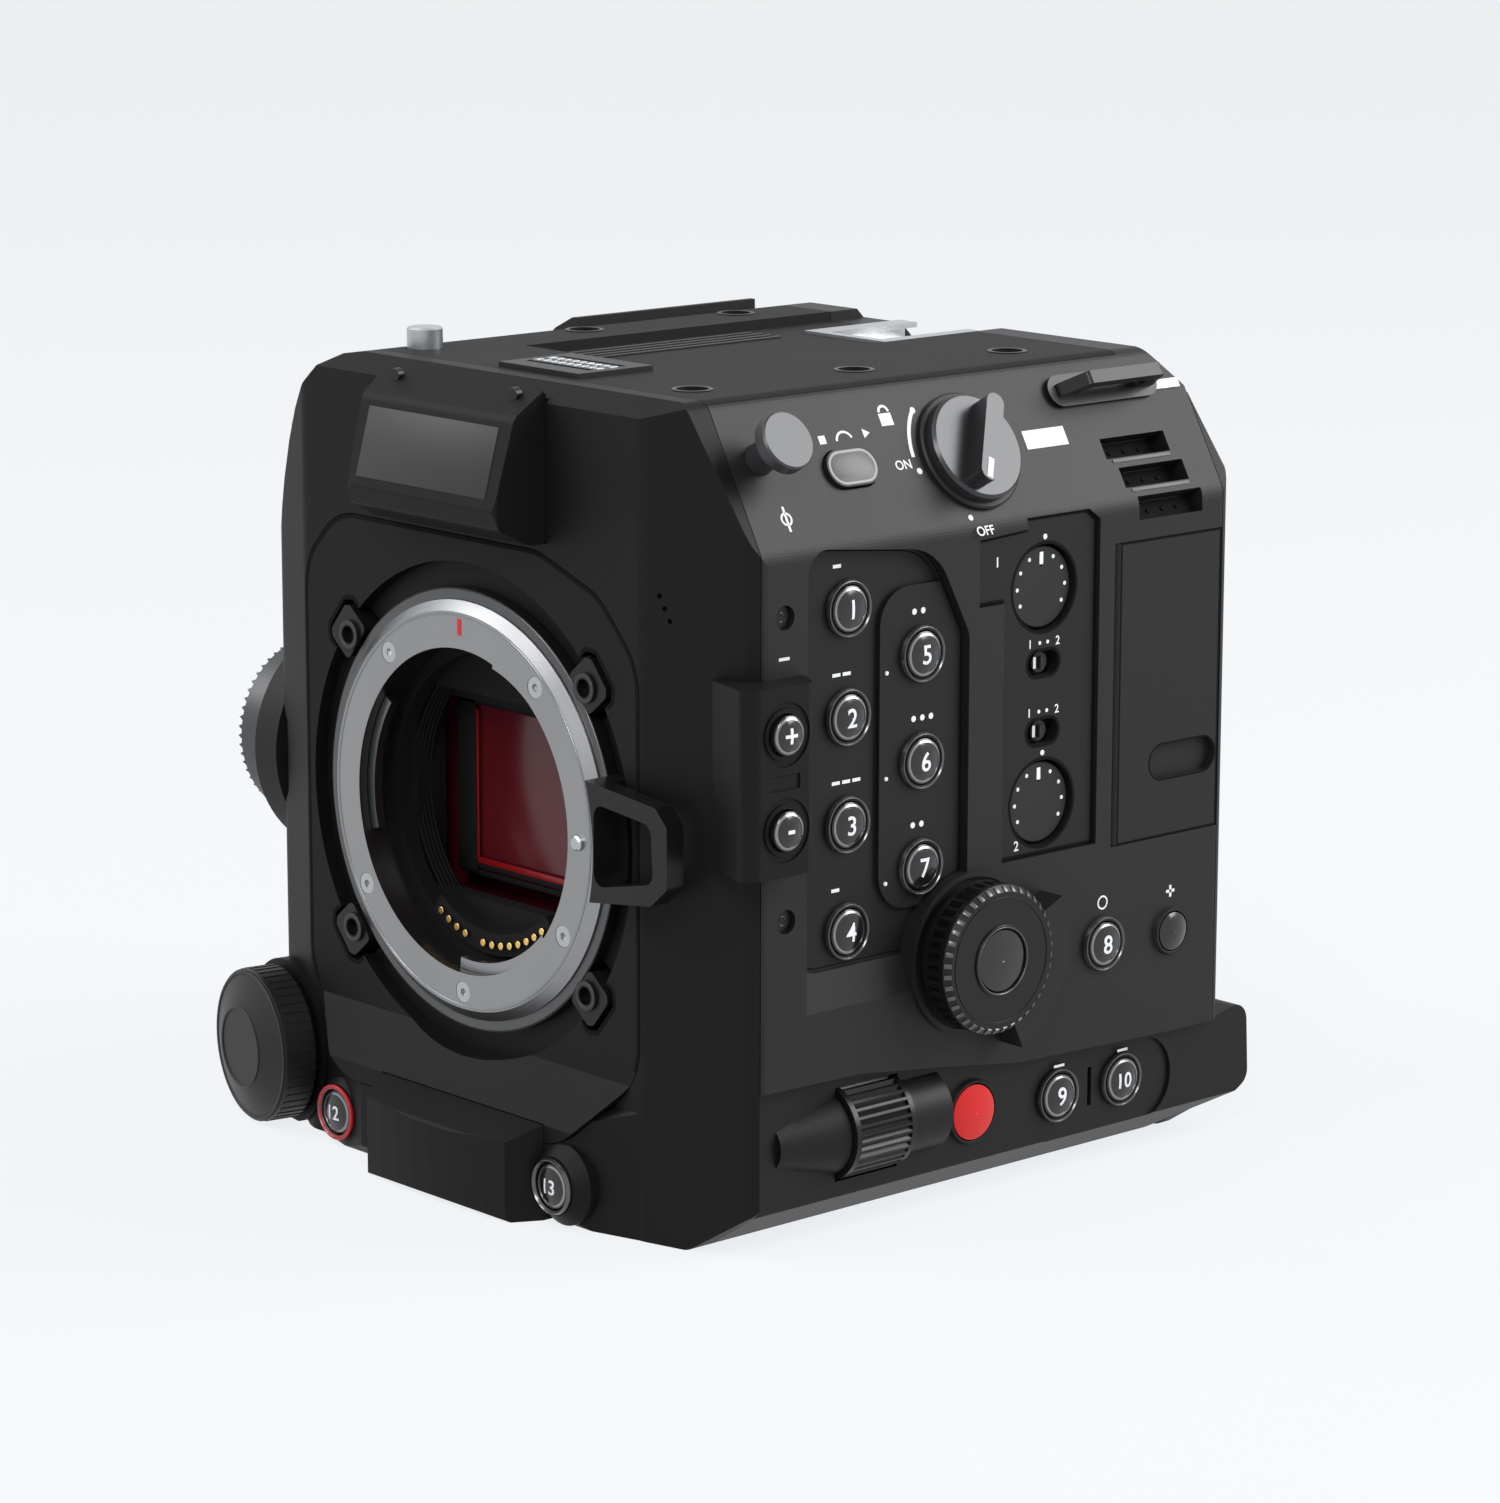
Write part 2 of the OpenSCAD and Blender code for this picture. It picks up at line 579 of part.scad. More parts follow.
// Heat sink with the fan frame on its fins
fan_x = 22;
fan_z = 18;
fan_r = 19;
fan_half = 22;
fan_t = 9;
fin_n = 10;
fin_t = 1.2;
fin_h = 14;
sink_t = 3;
sink_y = board_y + board_t + chip_t;
fan_y = sink_y + sink_t + fin_h;
hub_r = 7;
shaft_r = 1.5;
blade_n = 7;
blade_t = 1.4;
blade_turn = 35;
module fan_frame() color(shade_steel) at_mount() difference() {
    union() {
        span([fan_x - fan_half, sink_y, fan_z - fan_half], [fan_x + fan_half, sink_y + sink_t, fan_z + fan_half]);
        for (i = [0:fin_n - 1]) translate([0, 0, fan_z - fan_half + (2 * fan_half - fin_t) * i / (fin_n - 1)])
            span([fan_x - fan_half, sink_y, 0], [fan_x + fan_half, fan_y + over, fin_t]);
        difference() {
            span([fan_x - fan_half, fan_y, fan_z - fan_half], [fan_x + fan_half, fan_y + fan_t, fan_z + fan_half]);
            translate([fan_x, fan_y + fan_t, fan_z]) rotate([90, 0, 0]) plug(fan_r + gap, -over, fan_t + over);
        }
        for (a = [45:90:315]) translate([fan_x, fan_y, fan_z]) rotate([0, a, 0])
            span([0, 0, -fin_t], [fan_r + over, fin_t, fin_t]);
        translate([fan_x, fan_y, fan_z]) rotate([90, 0, 0]) plug(hub_r, -fin_t, 0);
    }
    translate([fan_x, fan_y, fan_z]) rotate([90, 0, 0]) plug(shaft_r + fit, -2 * fin_t, fin_h);
}
module fan_rotor() color(shade_dark) at_mount() translate([fan_x, fan_y + fin_t + gap, fan_z]) rotate([-90, 0, 0]) {
    plug(hub_r, 0, fan_t - 2 * fin_t);
    plug(shaft_r, -fin_t - gap - 2 * soft, over);
    intersection() {
        for (i = [0:blade_n - 1]) rotate([0, 0, 360 * i / blade_n]) translate([hub_r - over, 0, 0])
            rotate([blade_turn, 0, 0]) span([0, -blade_t / 2, -fan_t], [fan_r, blade_t / 2, fan_t]);
        plug(fan_r - gap, 0, fan_t - 2 * fin_t);
    }
}

// Control side: the recess for the numbered buttons
recess_y = 17.6;
recess_z = -18.5;
recess_w = 34.9;
recess_h = 68;
recess_d = 2.2;
recess_slope = 6;
recess_share = [[0, 0], [1, 0], [1, 0.743], [0.785, 0.956], [0, 1]];
recess_radii = [3, 2, 5, 10, 4];
recess_points = [for (p = scaled(recess_share, recess_w, recess_h)) p + [recess_y, recess_z]];
plate_t = 2.5;
plate_edge = 0.4;
raised_h = 0.8;
raised_share = [[0.476, 0.11], [0.98, 0.11], [0.98, 0.875], [0.476, 0.875]];
raised_r = 6;
column_1_y = 27.8;
column_1_z = 38.8;
column_2_y = 43.1;
column_2_z = 29.8;
numbered = concat([for (i = [0:3]) [column_1_y, column_1_z - i * button_pitch, 0]],
                  [for (i = [0:2]) [column_2_y, column_2_z - i * button_pitch, raised_h]]);
plate_x = side_r - recess_d;
side_screws = [[12.8, 39.4], [13.2, -8.7]];
side_screw_r = 1.9;
side_screw_d = 2;

dial_y = 53;
dial_z = -20.2;
dial_ring = 1.2;
guard_r = 18;
guard_h = 5;
guard_from = -65;
guard_to = 25;
dial_shaft_r = 3;
dial_shaft_h = 6;
push_r = 5;
push_rise = 0.4;

level_y = 60.4;
level_z = -6.6;
level_w = 21.4;
level_h = 55.6;
level_low = 0.8;
level_t = 4;
level_share = [[0, 0], [1, 0], [1, 0.968], [0.893, 1], [0.238, 1], [0.238, 0.968], [-0.262, 0.957],
               [-0.262, 0.766], [0, 0.766]];
level_points = [for (p = scaled(level_share, level_w, level_h)) p + [level_y, level_z]];
level_x = side_r - level_low;
knob_y = 70;
knob_zs = [37.3, 1.8];
knob_h = 2;
knob_low = 0.8;
knob_shaft_r = 1.6;
slot_zs = [24.9, 13.6];
slot_w = 7;
slot_h = 4;
slot_d = 2.4;
switch_travel = 1.5;

door_z0 = -7.8;
door_z1 = 42.6;
door_y1 = 110.7;
door_t = 2.4;
hinge_x = 62.7;
hinge_y = 87.1;
hinge_r = 1.3;
hinge_pin_r = 0.7;
hinge_pin_h = 1.6;
door_rib = 0.5;
finger_y = 94.5;
finger_w = 15.5;
finger_z = 1.9;
finger_h = 5.8;
finger_d = 1.3;
card_y = 92;
card_w = 16;
card_z = 0;
card_h = 36;

b8_y = 83.8;
b8_z = -23.9;
status_y = 100.05;
status_z = -24.4;
status_r = 3.2;

power_y = 57.6;
power_d = 13.9;
power_collar = 1;
power_collar_h = 1;
power_shaft_r = 2.5;
power_h = 2.4;
grip_w = 3.4;
grip_h = 4.2;
mode_y = 32;
mode_w = 10.5;
mode_h = 6.3;
mode_face = 0.8;
hook_y = 14.3;
hook_d = 10.5;
hook_post_r = 2.6;
hook_head_r = 4.8;
hook_head_t = 2.6;
hook_h = 8;
loop_y = 91.5;
loop_d = 6;
loop_w = 25;
loop_base_h = 5.5;
loop_base_t = 0.9;
loop_bar = 2.2;
loop_h = 6;
vent_n = 3;
vent_y = 87.2;
vent_w = 15;
vent_d = 14.8;
vent_h = 3.6;
vent_pitch = 5.3;
vent_step = 1.9;
vent_depth = 3;
lamp_y = 104;
lamp_w = 5.6;
lamp_d = 6;
lamp_h = 1.7;
lamp_in = 1;
lamp_out = 0.3;
front_lamp_x = -47.3;
front_lamp_y = 3.6;
front_lamp_z = 60;
front_lamp_w = 4;
front_lamp_h = 5.5;
front_lamp_tilt = 32;
module front_lamp(d = 0) translate([front_lamp_x, front_lamp_y, front_lamp_z]) rotate([0, front_lamp_tilt, 0])
    span([-lamp_out - d, -d, -front_lamp_h / 2 - d], [lamp_in + d, front_lamp_w + d, front_lamp_h / 2 + d]);

strip_x = 62;
rail_mid_h = 6;
rail_share = [[-0.43, -0.43], [0.93, -0.43], [1.14, -0.1], [1.13, 0.45], [1.03, 0.385], [0.865, 0.38],
              [0.365, 0.423], [0.135, 0.515], [-0.12, 0.604], [-0.43, 0.62]];
rail_w_y = 74;
rail_h_z = 26;
rail_mid_y = 35;
rail_mid_z = -52;
rail_points = [for (p = scaled(rail_share, rail_w_y, rail_h_z)) p + [rail_mid_y + edge_r, rail_mid_z]];
rec_y = 55.8;
rec_z = -47.8;
pad_y0 = 68.7;
pad_y1 = 103;
pad_z0 = -57;
pad_z1 = -42.6;
pad_d = 0.6;
b9_y = 76.2;
b10_y = 91.2;
b9_z = -49;
slit_y = 83.6;
slit_w = 0.9;
slit_h = 6.6;
drum_x = 59;
drum_z = -46;
drum_y0 = 26;
drum_y1 = 39;
drum_cone_y = 13;
drum_cone_r = 4.2;
drum_boss_y = 49;
drum_axle_r = 2;
drum_axle_h = 5;
drum_groove_n = 36;
drum_groove = 0.35;

nd_x = 69.4;
nd_z0 = 0.2;
nd_z1 = 30;
nd_share = [[0, 0.58], [0.08, 0.18], [0.85, 0], [1, 0.1], [1, 0.84], [0.68, 1], [0.52, 1]];
nd_x0 = 56;
nd_y0 = 0.6;
nd_w_y = 15.8;
nd_r = 3.1;
nd_plus_y = 8;
nd_plus_z = 22.6;
nd_minus_z = 7.6;
nd_ridge = 1.2;

module recess_outline(d = 0) polygon(rounded(inset(recess_points, d), recess_radii));
module level_outline(d = 0) polygon(inset(level_points, d));
module rail_outline(d = 0) polygon(rounded(inset(rail_points, d), edge_r));
module capsule(y, z, w, h) translate([y, z]) polygon(rounded(rect([0, 0], [w, h]), corner_share * min(w, h)));

// Hollow of the control side, closed under the sloping rear of the top
module side_hollow() difference() {
    along_y(0, rear_y) polygon(rounded(inset(section_points, side_wall), section_radii));
    span([-side_l, top_back, top_h - rear_mid_h - 2 * wall], [side_r, rear_y, top_h]);
}

module control_cover() color(shade_mid) at_mount() difference() {
    union() {
        difference() {
            intersection() {
                difference() { form(); side_hollow(); }
                union() {
                    span([control_seam, front_seam_y + seam, rail_mid_z], [side_r, rear_y - wall - seam, top_h]);
                    span([-top_left + seam, top_back + seam, top_h - 2 * top_t], [side_r, rear_y - wall - seam, top_h]);
                }
            }
            along_x(plate_x, side_r + over) recess_outline();
            along_x(plate_x - plate_t, side_r) recess_outline(plate_edge);
            intersection() {
                along_x(plate_x - plate_t, side_r + over) polygon(rect([recess_y, recess_z - recess_slope], [recess_y + recess_w, recess_z + recess_slope]));
                along_y(0, rear_y) polygon([[side_r, recess_z - recess_slope], [side_r + over, recess_z - recess_slope],
                    [side_r + over, recess_z + recess_slope], [plate_x, recess_z + recess_slope], [plate_x, recess_z + edge_r]]);
            }
            along_x(level_x - level_t, side_r + over) level_outline(-seam);
        }
        on_side(dial_y, dial_z, 0) difference() {
            plug(select_r + dial_ring, side_r - side_wall, side_r + raised_h);
            plug(select_r + gap, side_r, side_r + over);
        }
        on_side(dial_y, dial_z) intersection() {
            difference() {
                plug(guard_r, -side_wall, guard_h);
                plug(select_r + gap, -side_wall - over, guard_h + over);
            }
            along_z(-side_wall, guard_h) polygon(concat([[0, 0]],
                [for (i = [0:arc_steps]) on_circle(2 * guard_r, guard_from + (guard_to - guard_from) * i / arc_steps)]));
        }
        on_side(b8_y, b8_z) bezel(dome_r);
        on_side(status_y, status_z) bezel(status_r);
        on_shoulder(power_y, power_d) boss(power_r + power_collar, power_collar_h, bezel_edge);
    }
    top_pocket();
    shoe_pocket();
    along_x(rail_x - over, side_r + over) rail_outline(-seam);
    span([0, 0, -axis_h - over], [rail_x, rear_y, rail_top]);
    translate([drum_x, 0, drum_z]) rotate([-90, 0, 0]) plug(drum_r + gap, drum_cone_y - gap, drum_boss_y + gap);
    on_side(dial_y, dial_z) plug(dial_shaft_r + fit, -dial_shaft_h, over);
    on_side(b8_y, b8_z) button_well();
    on_side(status_y, status_z) button_well(status_r);
    for (z = knob_zs) on_side(knob_y, z) plug(knob_shaft_r + fit, -side_wall + soft, 0);
    along_x(side_r - door_t - gap, side_r + over) polygon(rect([hinge_y, door_z0 - seam], [rear_y, door_z1 + seam]));
    translate([hinge_x, hinge_y, 0]) plug(hinge_r + gap, door_z0 - seam, door_z1 + seam);
    span([hinge_x, hinge_y - hinge_r - gap, door_z0 - seam], [side_r + over, hinge_y + over, door_z1 + seam]);
    translate([hinge_x, hinge_y, 0]) plug(hinge_pin_r + fit, door_z0 - hinge_pin_h, door_z1 + hinge_pin_h);
    span([0, card_y - soft, card_z - soft], [side_r, card_y + card_w + soft, card_z + card_h + soft]);
    on_shoulder(power_y, power_d) plug(power_shaft_r + fit, -side_wall + soft, power_h);
    on_shoulder(mode_y, power_d) along_z(-well_depth, over) capsule(-mode_w / 2 - button_gap, -mode_h / 2 - button_gap, mode_w + 2 * button_gap, mode_h + 2 * button_gap);
    on_shoulder(hook_y, hook_d) plug(hook_post_r, -hook_head_t, over);
    for (i = [0:vent_n - 1]) on_shoulder(vent_y + i * vent_step, vent_d + i * vent_pitch)
        span([0, -vent_h, -vent_depth], [vent_w, 0, vent_depth]);
    on_shoulder(lamp_y, lamp_d) span([0, -lamp_h, -lamp_in], [lamp_w, 0, over]);
    for (s = side_screws) on_side(s[0], s[1]) plug(side_screw_r + fit, -side_screw_d, over);
}

module button_panel() color(shade_dark) at_mount() difference() {
    union() {
        along_x(plate_x - plate_t, plate_x) recess_outline(plate_edge + seam);
        intersection() {
            along_x(plate_x - plate_t, plate_x + raised_h) polygon(rounded(
                [for (p = scaled(raised_share, recess_w, recess_h)) p + [recess_y, recess_z]], raised_r));
            along_x(plate_x - plate_t, side_r) recess_outline(plate_edge + seam);
        }
        for (b = numbered) on_side(b[0], b[1], plate_x + b[2]) bezel(dome_r);
    }
    for (b = numbered) on_side(b[0], b[1], plate_x + b[2]) button_well(dome_r, plate_t + b[2] + over);
    on_side(dial_y, dial_z) plug(select_r + dial_ring + seam, -side_wall, over);
}

module level_panel() color(shade_dark) at_mount() difference() {
    along_x(level_x - level_t, level_x) level_outline();
    for (z = knob_zs) on_side(knob_y, z, level_x) {
        plug(knob_r + gap, -knob_h - knob_low - gap, over);
        plug(knob_shaft_r + fit, -level_t - over, 0);
    }
    for (z = slot_zs) on_side(knob_y, z, level_x) along_z(-slot_d, over) capsule(-slot_w / 2, -slot_h / 2, slot_w, slot_h);
}

module level_knob(z) color(shade_dark) at_mount() on_side(knob_y, z, level_x) difference() {
    union() {
        rotate_extrude() polygon([[0, -knob_h - knob_low], [knob_r, -knob_h - knob_low], [knob_r, -knob_low - bezel_edge],
                                  [knob_r - bezel_edge, -knob_low], [0, -knob_low]]);
        plug(knob_shaft_r, -level_t - soft, -knob_low - soft);
    }
    span([-bezel_edge, knob_r / 2, -knob_low - bezel_edge], [bezel_edge, knob_r - soft, 0]);
}
module level_knob_1() level_knob(knob_zs[0]);
module level_knob_2() level_knob(knob_zs[1]);

module level_switch(z) color(shade_dark) at_mount() on_side(knob_y, z, level_x) {
    along_z(-slot_d + gap, -soft) capsule(-slot_w / 2 + switch_travel + gap, -slot_h / 2 + gap,
        slot_w - 2 * switch_travel - 2 * gap, slot_h - 2 * gap);
    span([-bezel_edge, -slot_h / 2 + soft, -2 * soft], [bezel_edge, slot_h / 2 - soft, -bezel_edge]);
}
module level_switch_1() level_switch(slot_zs[0]);
module level_switch_2() level_switch(slot_zs[1]);

module nd_block() color(shade_dark) at_mount() difference() {
    along_z(nd_z0, nd_z1) polygon(rounded([for (s = nd_share)
        [nd_x0 + s[0] * (nd_x - nd_x0), nd_y0 + s[1] * nd_w_y]], 2 * soft));
    form(-fit);
    for (z = [nd_plus_z, nd_minus_z]) on_side(nd_plus_y, z, nd_x) {
        button_well(nd_r);
        translate([0, 0, -over]) difference() {
            plug(nd_r + 2 * soft, over - bezel_edge, 2 * over);
            plug(nd_r + soft, 0, 2 * over);
        }
    }
    on_side(nd_plus_y, (nd_plus_z + nd_minus_z) / 2, nd_x) span([-nd_r, -nd_ridge, -bezel_edge], [nd_r, nd_ridge, over]);
}

module lower_rail() color(shade_dark) at_mount() difference() {
    union() {
        intersection() {
            along_x(rail_x, strip_x) rail_outline();
            along_y(front_seam_y + seam, 2 * rear_y) polygon(rounded(inset(section_points, 0), section_radii));
        }
        translate([drum_x, 0, drum_z]) rotate([-90, 0, 0]) {
            translate([0, 0, drum_cone_y]) cylinder(r1 = drum_cone_r, r2 = drum_r - soft, h = drum_y0 - gap - drum_cone_y);
            plug(drum_r - soft, drum_y1 + gap, drum_boss_y - soft);
            translate([0, 0, drum_boss_y - soft]) cylinder(r1 = drum_r - soft, r2 = drum_r - 2 * soft, h = soft);
        }
        for (y = [b9_y, b10_y]) on_side(y, b9_z, strip_x - pad_d) bezel(dome_r);
        on_side(rec_y, rec_z, strip_x) bezel(record_r);
    }
    difference() {
        along_x(strip_x - pad_d, side_r) capsule(pad_y0, pad_z0, pad_y1 - pad_y0, pad_z1 - pad_z0);
        for (y = [b9_y, b10_y]) on_side(y, b9_z, strip_x - pad_d) plug(dome_r + bezel_w, -over, 2 * over);
    }
    span([strip_x - pad_d - soft, slit_y, b9_z - slit_h / 2], [side_r, slit_y + slit_w, b9_z + slit_h / 2]);
    for (y = [b9_y, b10_y]) on_side(y, b9_z, strip_x - pad_d) button_well();
    on_side(rec_y, rec_z, strip_x) button_well(record_r);
    translate([drum_x, 0, drum_z]) rotate([-90, 0, 0]) {
        plug(drum_r + gap, drum_y0 - gap, drum_y1 + gap);
        plug(drum_axle_r + fit, drum_y0 - drum_axle_h, drum_y1 + drum_axle_h);
    }
}

module drum_wheel() color(shade_dark) at_mount() translate([drum_x, 0, drum_z]) rotate([-90, 0, 0]) {
    difference() {
        plug(drum_r, drum_y0, drum_y1);
        for (i = [0:drum_groove_n - 1]) rotate([0, 0, 360 * i / drum_groove_n]) translate([drum_r, 0, 0]) rotate([0, 0, 45])
            span([-drum_groove, -drum_groove, drum_y0 + soft], [drum_groove, drum_groove, drum_y1 - soft]);
    }
    plug(drum_axle_r, drum_y0 - drum_axle_h + gap, drum_y1 + drum_axle_h - gap);
}

// Shoe on the top plate, and the pocket it sits in
shoe_x = 2.5;
shoe_w = 21.5;
shoe_y0 = 83;
shoe_y1 = 105.5;
shoe_top = 70.9;
shoe_slot_w = 18.7;
shoe_slot_h = 2.1;
shoe_open_w = 12.6;
shoe_floor = 0.7;
shoe_lip = 0.9;
channel_w = 18;
channel_d = 1.6;
channel_y = 29;
module shoe_pocket() {
    span([shoe_x - shoe_w / 2 - seam, shoe_y0 - seam, shoe_top - shoe_floor - shoe_slot_h - shoe_lip],
         [shoe_x + shoe_w / 2 + seam, rear_y + over, top_h + over]);
    span([-channel_w, channel_y, top_h - channel_d], [channel_w, rear_y + over, top_h + over]);
}
module accessory_shoe() color(shade_steel) at_mount() translate([shoe_x, 0, shoe_top - shoe_floor - shoe_slot_h - shoe_lip]) difference() {
    span([-shoe_w / 2, shoe_y0, 0], [shoe_w / 2, shoe_y1, shoe_floor + shoe_slot_h + shoe_lip]);
    span([-shoe_slot_w / 2, shoe_y0 + 2 * soft, shoe_floor], [shoe_slot_w / 2, shoe_y1 + over, shoe_floor + shoe_slot_h]);
    span([-shoe_open_w / 2, shoe_y0 + 2 * soft, shoe_floor], [shoe_open_w / 2, shoe_y1 + over, 2 * top_t]);
}

// Top plate with its threaded holes
hole_r = 2.55;
hole_x0 = -27;
hole_dx = 67;
hole_y0 = 15;
hole_dy = 34.5;
terminal_x0 = -1;
terminal_x1 = 19;
terminal_y0 = 9.5;
terminal_y1 = 25;
terminal_h = 0.8;
module top_plate() color(shade_mid) at_mount() difference() {
    intersection() {
        span([-top_left, top_front, top_h - top_t], [side_r - shoulder_w, top_back, top_h]);
        form();
    }
    shoe_pocket();
    for (i = [0:2], j = [0:1]) translate([hole_x0 + j * hole_dx, hole_y0 + i * hole_dy, 0]) plug(hole_r, top_h - top_t - over, top_h + over);
    span([terminal_x0 - seam, terminal_y0 - seam, top_h - top_t / 2], [terminal_x1 + seam, terminal_y1 + seam, top_h + over]);
}
module top_terminal() color(shade_dark) at_mount() difference() {
    span([terminal_x0, terminal_y0, top_h - top_t / 2], [terminal_x1, terminal_y1, top_h + terminal_h]);
    for (s = [0.25, 0.7]) translate([0, (1 - s) * terminal_y0 + s * terminal_y1, 0])
        span([terminal_x0 + 2 * soft, 0, top_h - soft], [terminal_x1 - 2 * soft, soft, top_h + over]);
}

// Far side, base and rear
base_left = 44;
ridge_x = 44;
ridge_w = 10;
ridge_y0 = 50;
ridge_y1 = 97;
ridge_h = 2;
rosette_y = 25;
rosette_base_r = 20.5;
rosette_base_h = 8;
rosette_tip = 17.4;
rosette_bore_r = 2.5;
rosette_depth = 9;
tooth_h = 1.4;
module left_cover() color(shade_dark) at_mount() difference() {
    union() {
        intersection() {
            difference() { form(); form(wall); }
            span([-side_l, front_seam_y + seam, -axis_h], [-top_left - seam, rear_y - wall - seam, top_h]);
        }
        intersection() {
            span([-ridge_x, ridge_y0, 0], [-ridge_x + ridge_w - 2 * seam, ridge_y1, top_h + ridge_h - soft]);
            difference() { form(-ridge_h); form(wall); }
            along_x(-ridge_x, 0) polygon([[ridge_y0, 0], [ridge_y1, 0], [ridge_y1 - ridge_h, top_h + ridge_h], [ridge_y0 + 2 * ridge_h, top_h + ridge_h]]);
        }
        on_left(rosette_y, 0, -side_l + wall) boss(rosette_base_r, rosette_base_h, 2 * soft);
    }
    span([-base_left - seam, 0, -axis_h - over], [0, rear_y, -axis_h + wall + seam]);
    on_left(rosette_y, 0, -side_l + wall) plug(rosette_r + seam, rosette_base_h - wall, 2 * rosette_base_h);
}

// Toothed rosette: a ring with radial teeth
module rosette() color(shade_steel) at_mount() on_left(rosette_y, 0, -side_l + wall - rosette_base_h) {
    difference() {
        plug(rosette_r, -wall, rosette_tip - rosette_base_h - tooth_h);
        plug(rosette_bore_r, -wall - over, rosette_tip);
        plug(rosette_r / 2, soft, rosette_tip);
    }
    for (i = [0:rosette_teeth - 1]) rotate([0, 0, 360 * i / rosette_teeth])
        translate([rosette_r / 2, 0, rosette_tip - rosette_base_h - tooth_h - fit]) rotate([90, 0, 90])
        linear_extrude(rosette_r / 2 - bezel_edge) polygon([[-tooth_h / 2, 0], [tooth_h / 2, 0], [0, tooth_h]]);
}

socket_r = 2.55;
socket_depth = 9;
socket_2_r = 3.97;
socket_2_y = 20;
socket_wall = 6;
module base_plate() color(shade_dark) at_mount() difference() {
    union() {
        intersection() {
            form();
            span([-base_left, front_seam_y + seam, -axis_h], [rail_x - seam, rear_y - wall - seam, -axis_h + wall]);
        }
        span([-2 * socket_wall, socket_y - socket_wall, -axis_h], [2 * socket_wall, socket_y + socket_2_y + socket_wall, -axis_h + socket_depth + wall]);
    }
    translate([0, socket_y, -axis_h]) plug(socket_r, -over, socket_depth);
    translate([0, socket_y + socket_2_y, -axis_h]) plug(socket_2_r, -over, socket_depth);
}

// Battery and its bay
bat_x0 = -48;
bat_x1 = -8;
bat_z = 36;
bat_y0 = 66;
bat_y1 = 119;
bay_t = 1.6;
bat_grip = 1.2;
term_x = 8;
term_w = 16;
term_z = 34;
term_t = 1.2;
jack_r = 4.8;
jack_h = 7;
jack_zs = [24, 8];
port_zs = [-8, -22];
port_w = 9;
port_h = 5;
module rear_cover() color(shade_dark) at_mount() difference() {
    union() {
        intersection() { form(); span([-side_l, rear_y - wall, -axis_h], [side_r, rear_y, top_h]); }
        span([bat_x0 - gap - bay_t, bat_y0 - bay_t, -bat_z - gap - bay_t], [bat_x1 + gap + bay_t, rear_y - over, bat_z + gap + bay_t]);
    }
    span([bat_x0 - gap, bat_y0, -bat_z - gap], [bat_x1 + gap, rear_y + over, bat_z + gap]);
    along_x(rail_x - over, side_r + over) rail_outline(-seam);
    shoe_pocket();
    span([term_x - term_w / 2 - seam, rear_y - term_t, -term_z - seam], [term_x + term_w / 2 + seam, rear_y + over, term_z + seam]);
}
module battery() color(shade_dark) at_mount() difference() {
    along_y(bat_y0 + gap, bat_y1) polygon(rounded(rect([bat_x0, -bat_z], [bat_x1, bat_z]), 2 * soft));
    for (i = [-2:2]) translate([0, 0, i * 3 * bat_grip]) span([bat_x0 + 4 * socket_wall / 2, bat_y1 - bat_grip / 2, 0], [bat_x1 - 2 * socket_wall, bat_y1 + over, bat_grip]);
}
module rear_terminals() color(shade_dark) at_mount() difference() {
    union() {
        span([term_x - term_w / 2, rear_y - term_t, -term_z], [term_x + term_w / 2, rear_y + term_t, term_z]);
        for (z = jack_zs) on_rear(term_x, z) plug(jack_r, 0, jack_h);
    }
    for (z = jack_zs) on_rear(term_x, z) difference() { plug(jack_r - soft, term_t, jack_h + over); plug(soft, 0, jack_h - soft); }
    for (z = port_zs) on_rear(term_x, z) span([-port_w / 2, -port_h / 2, 0], [port_w / 2, port_h / 2, jack_h]);
}

// Card cage behind the media door, with two card slots
cage_x0 = 22;
cage_y0 = 84;
cage_y1 = 110.5;
cage_z0 = -8;
cage_z1 = 42;
slot_t = 3.4;
module card_cage() color(shade_steel) at_mount() difference() {
    span([cage_x0, cage_y0, cage_z0], [side_r - side_wall, cage_y1, cage_z1]);
    for (s = [0.28, 0.72]) translate([0, 0, card_z + s * card_h])
        span([cage_x0 + 2 * soft, card_y, -card_h / 6], [side_r, card_y + slot_t, card_h / 6]);
    span([cage_x0 + 3 * socket_wall, card_y + 2 * slot_t, card_z], [side_r, card_y + card_w, card_z + card_h]);
}
module media_door() color(shade_mid) at_mount() difference() {
    union() {
        along_x(side_r - door_t, side_r) polygon(rect([hinge_y, door_z0], [door_y1, door_z1]));
        translate([hinge_x, hinge_y, 0]) plug(hinge_r, door_z0, door_z1);
        translate([hinge_x, hinge_y, 0]) plug(hinge_pin_r, door_z0 - hinge_pin_h + gap, door_z1 + hinge_pin_h - gap);
    }
    along_x(side_r - finger_d, side_r + over) capsule(finger_y, finger_z, finger_w, finger_h);
}

// Screws of the casing, the mount and the top
hex_r = 0.7;
module screw(r, h) difference() { plug(r, -h, 0); rotate([0, 0, 0]) cylinder(r = hex_r, h = h, center = true, $fn = 6); }
top_screw_r = 3;
top_screw_h = 3.5;
module fasteners() color(shade_steel) at_mount() {
    on_front(0, 0, 0) for (a = screw_angles) rotate([0, 0, a]) translate([screw_ring_r, 0, 0]) {
        translate([0, 0, -fit]) screw(head_r, head_t - fit);
        plug(shank_r, -chassis_y - soft, -head_t);
    }
    for (s = side_screws) on_side(s[0], s[1], side_r - soft) screw(side_screw_r, side_screw_d - soft);
    translate([hole_x0, hole_y0, top_h]) {
        boss(top_screw_r, top_screw_h, bezel_edge);
        plug(hole_r - fit, -top_t / 2, soft);
    }
}

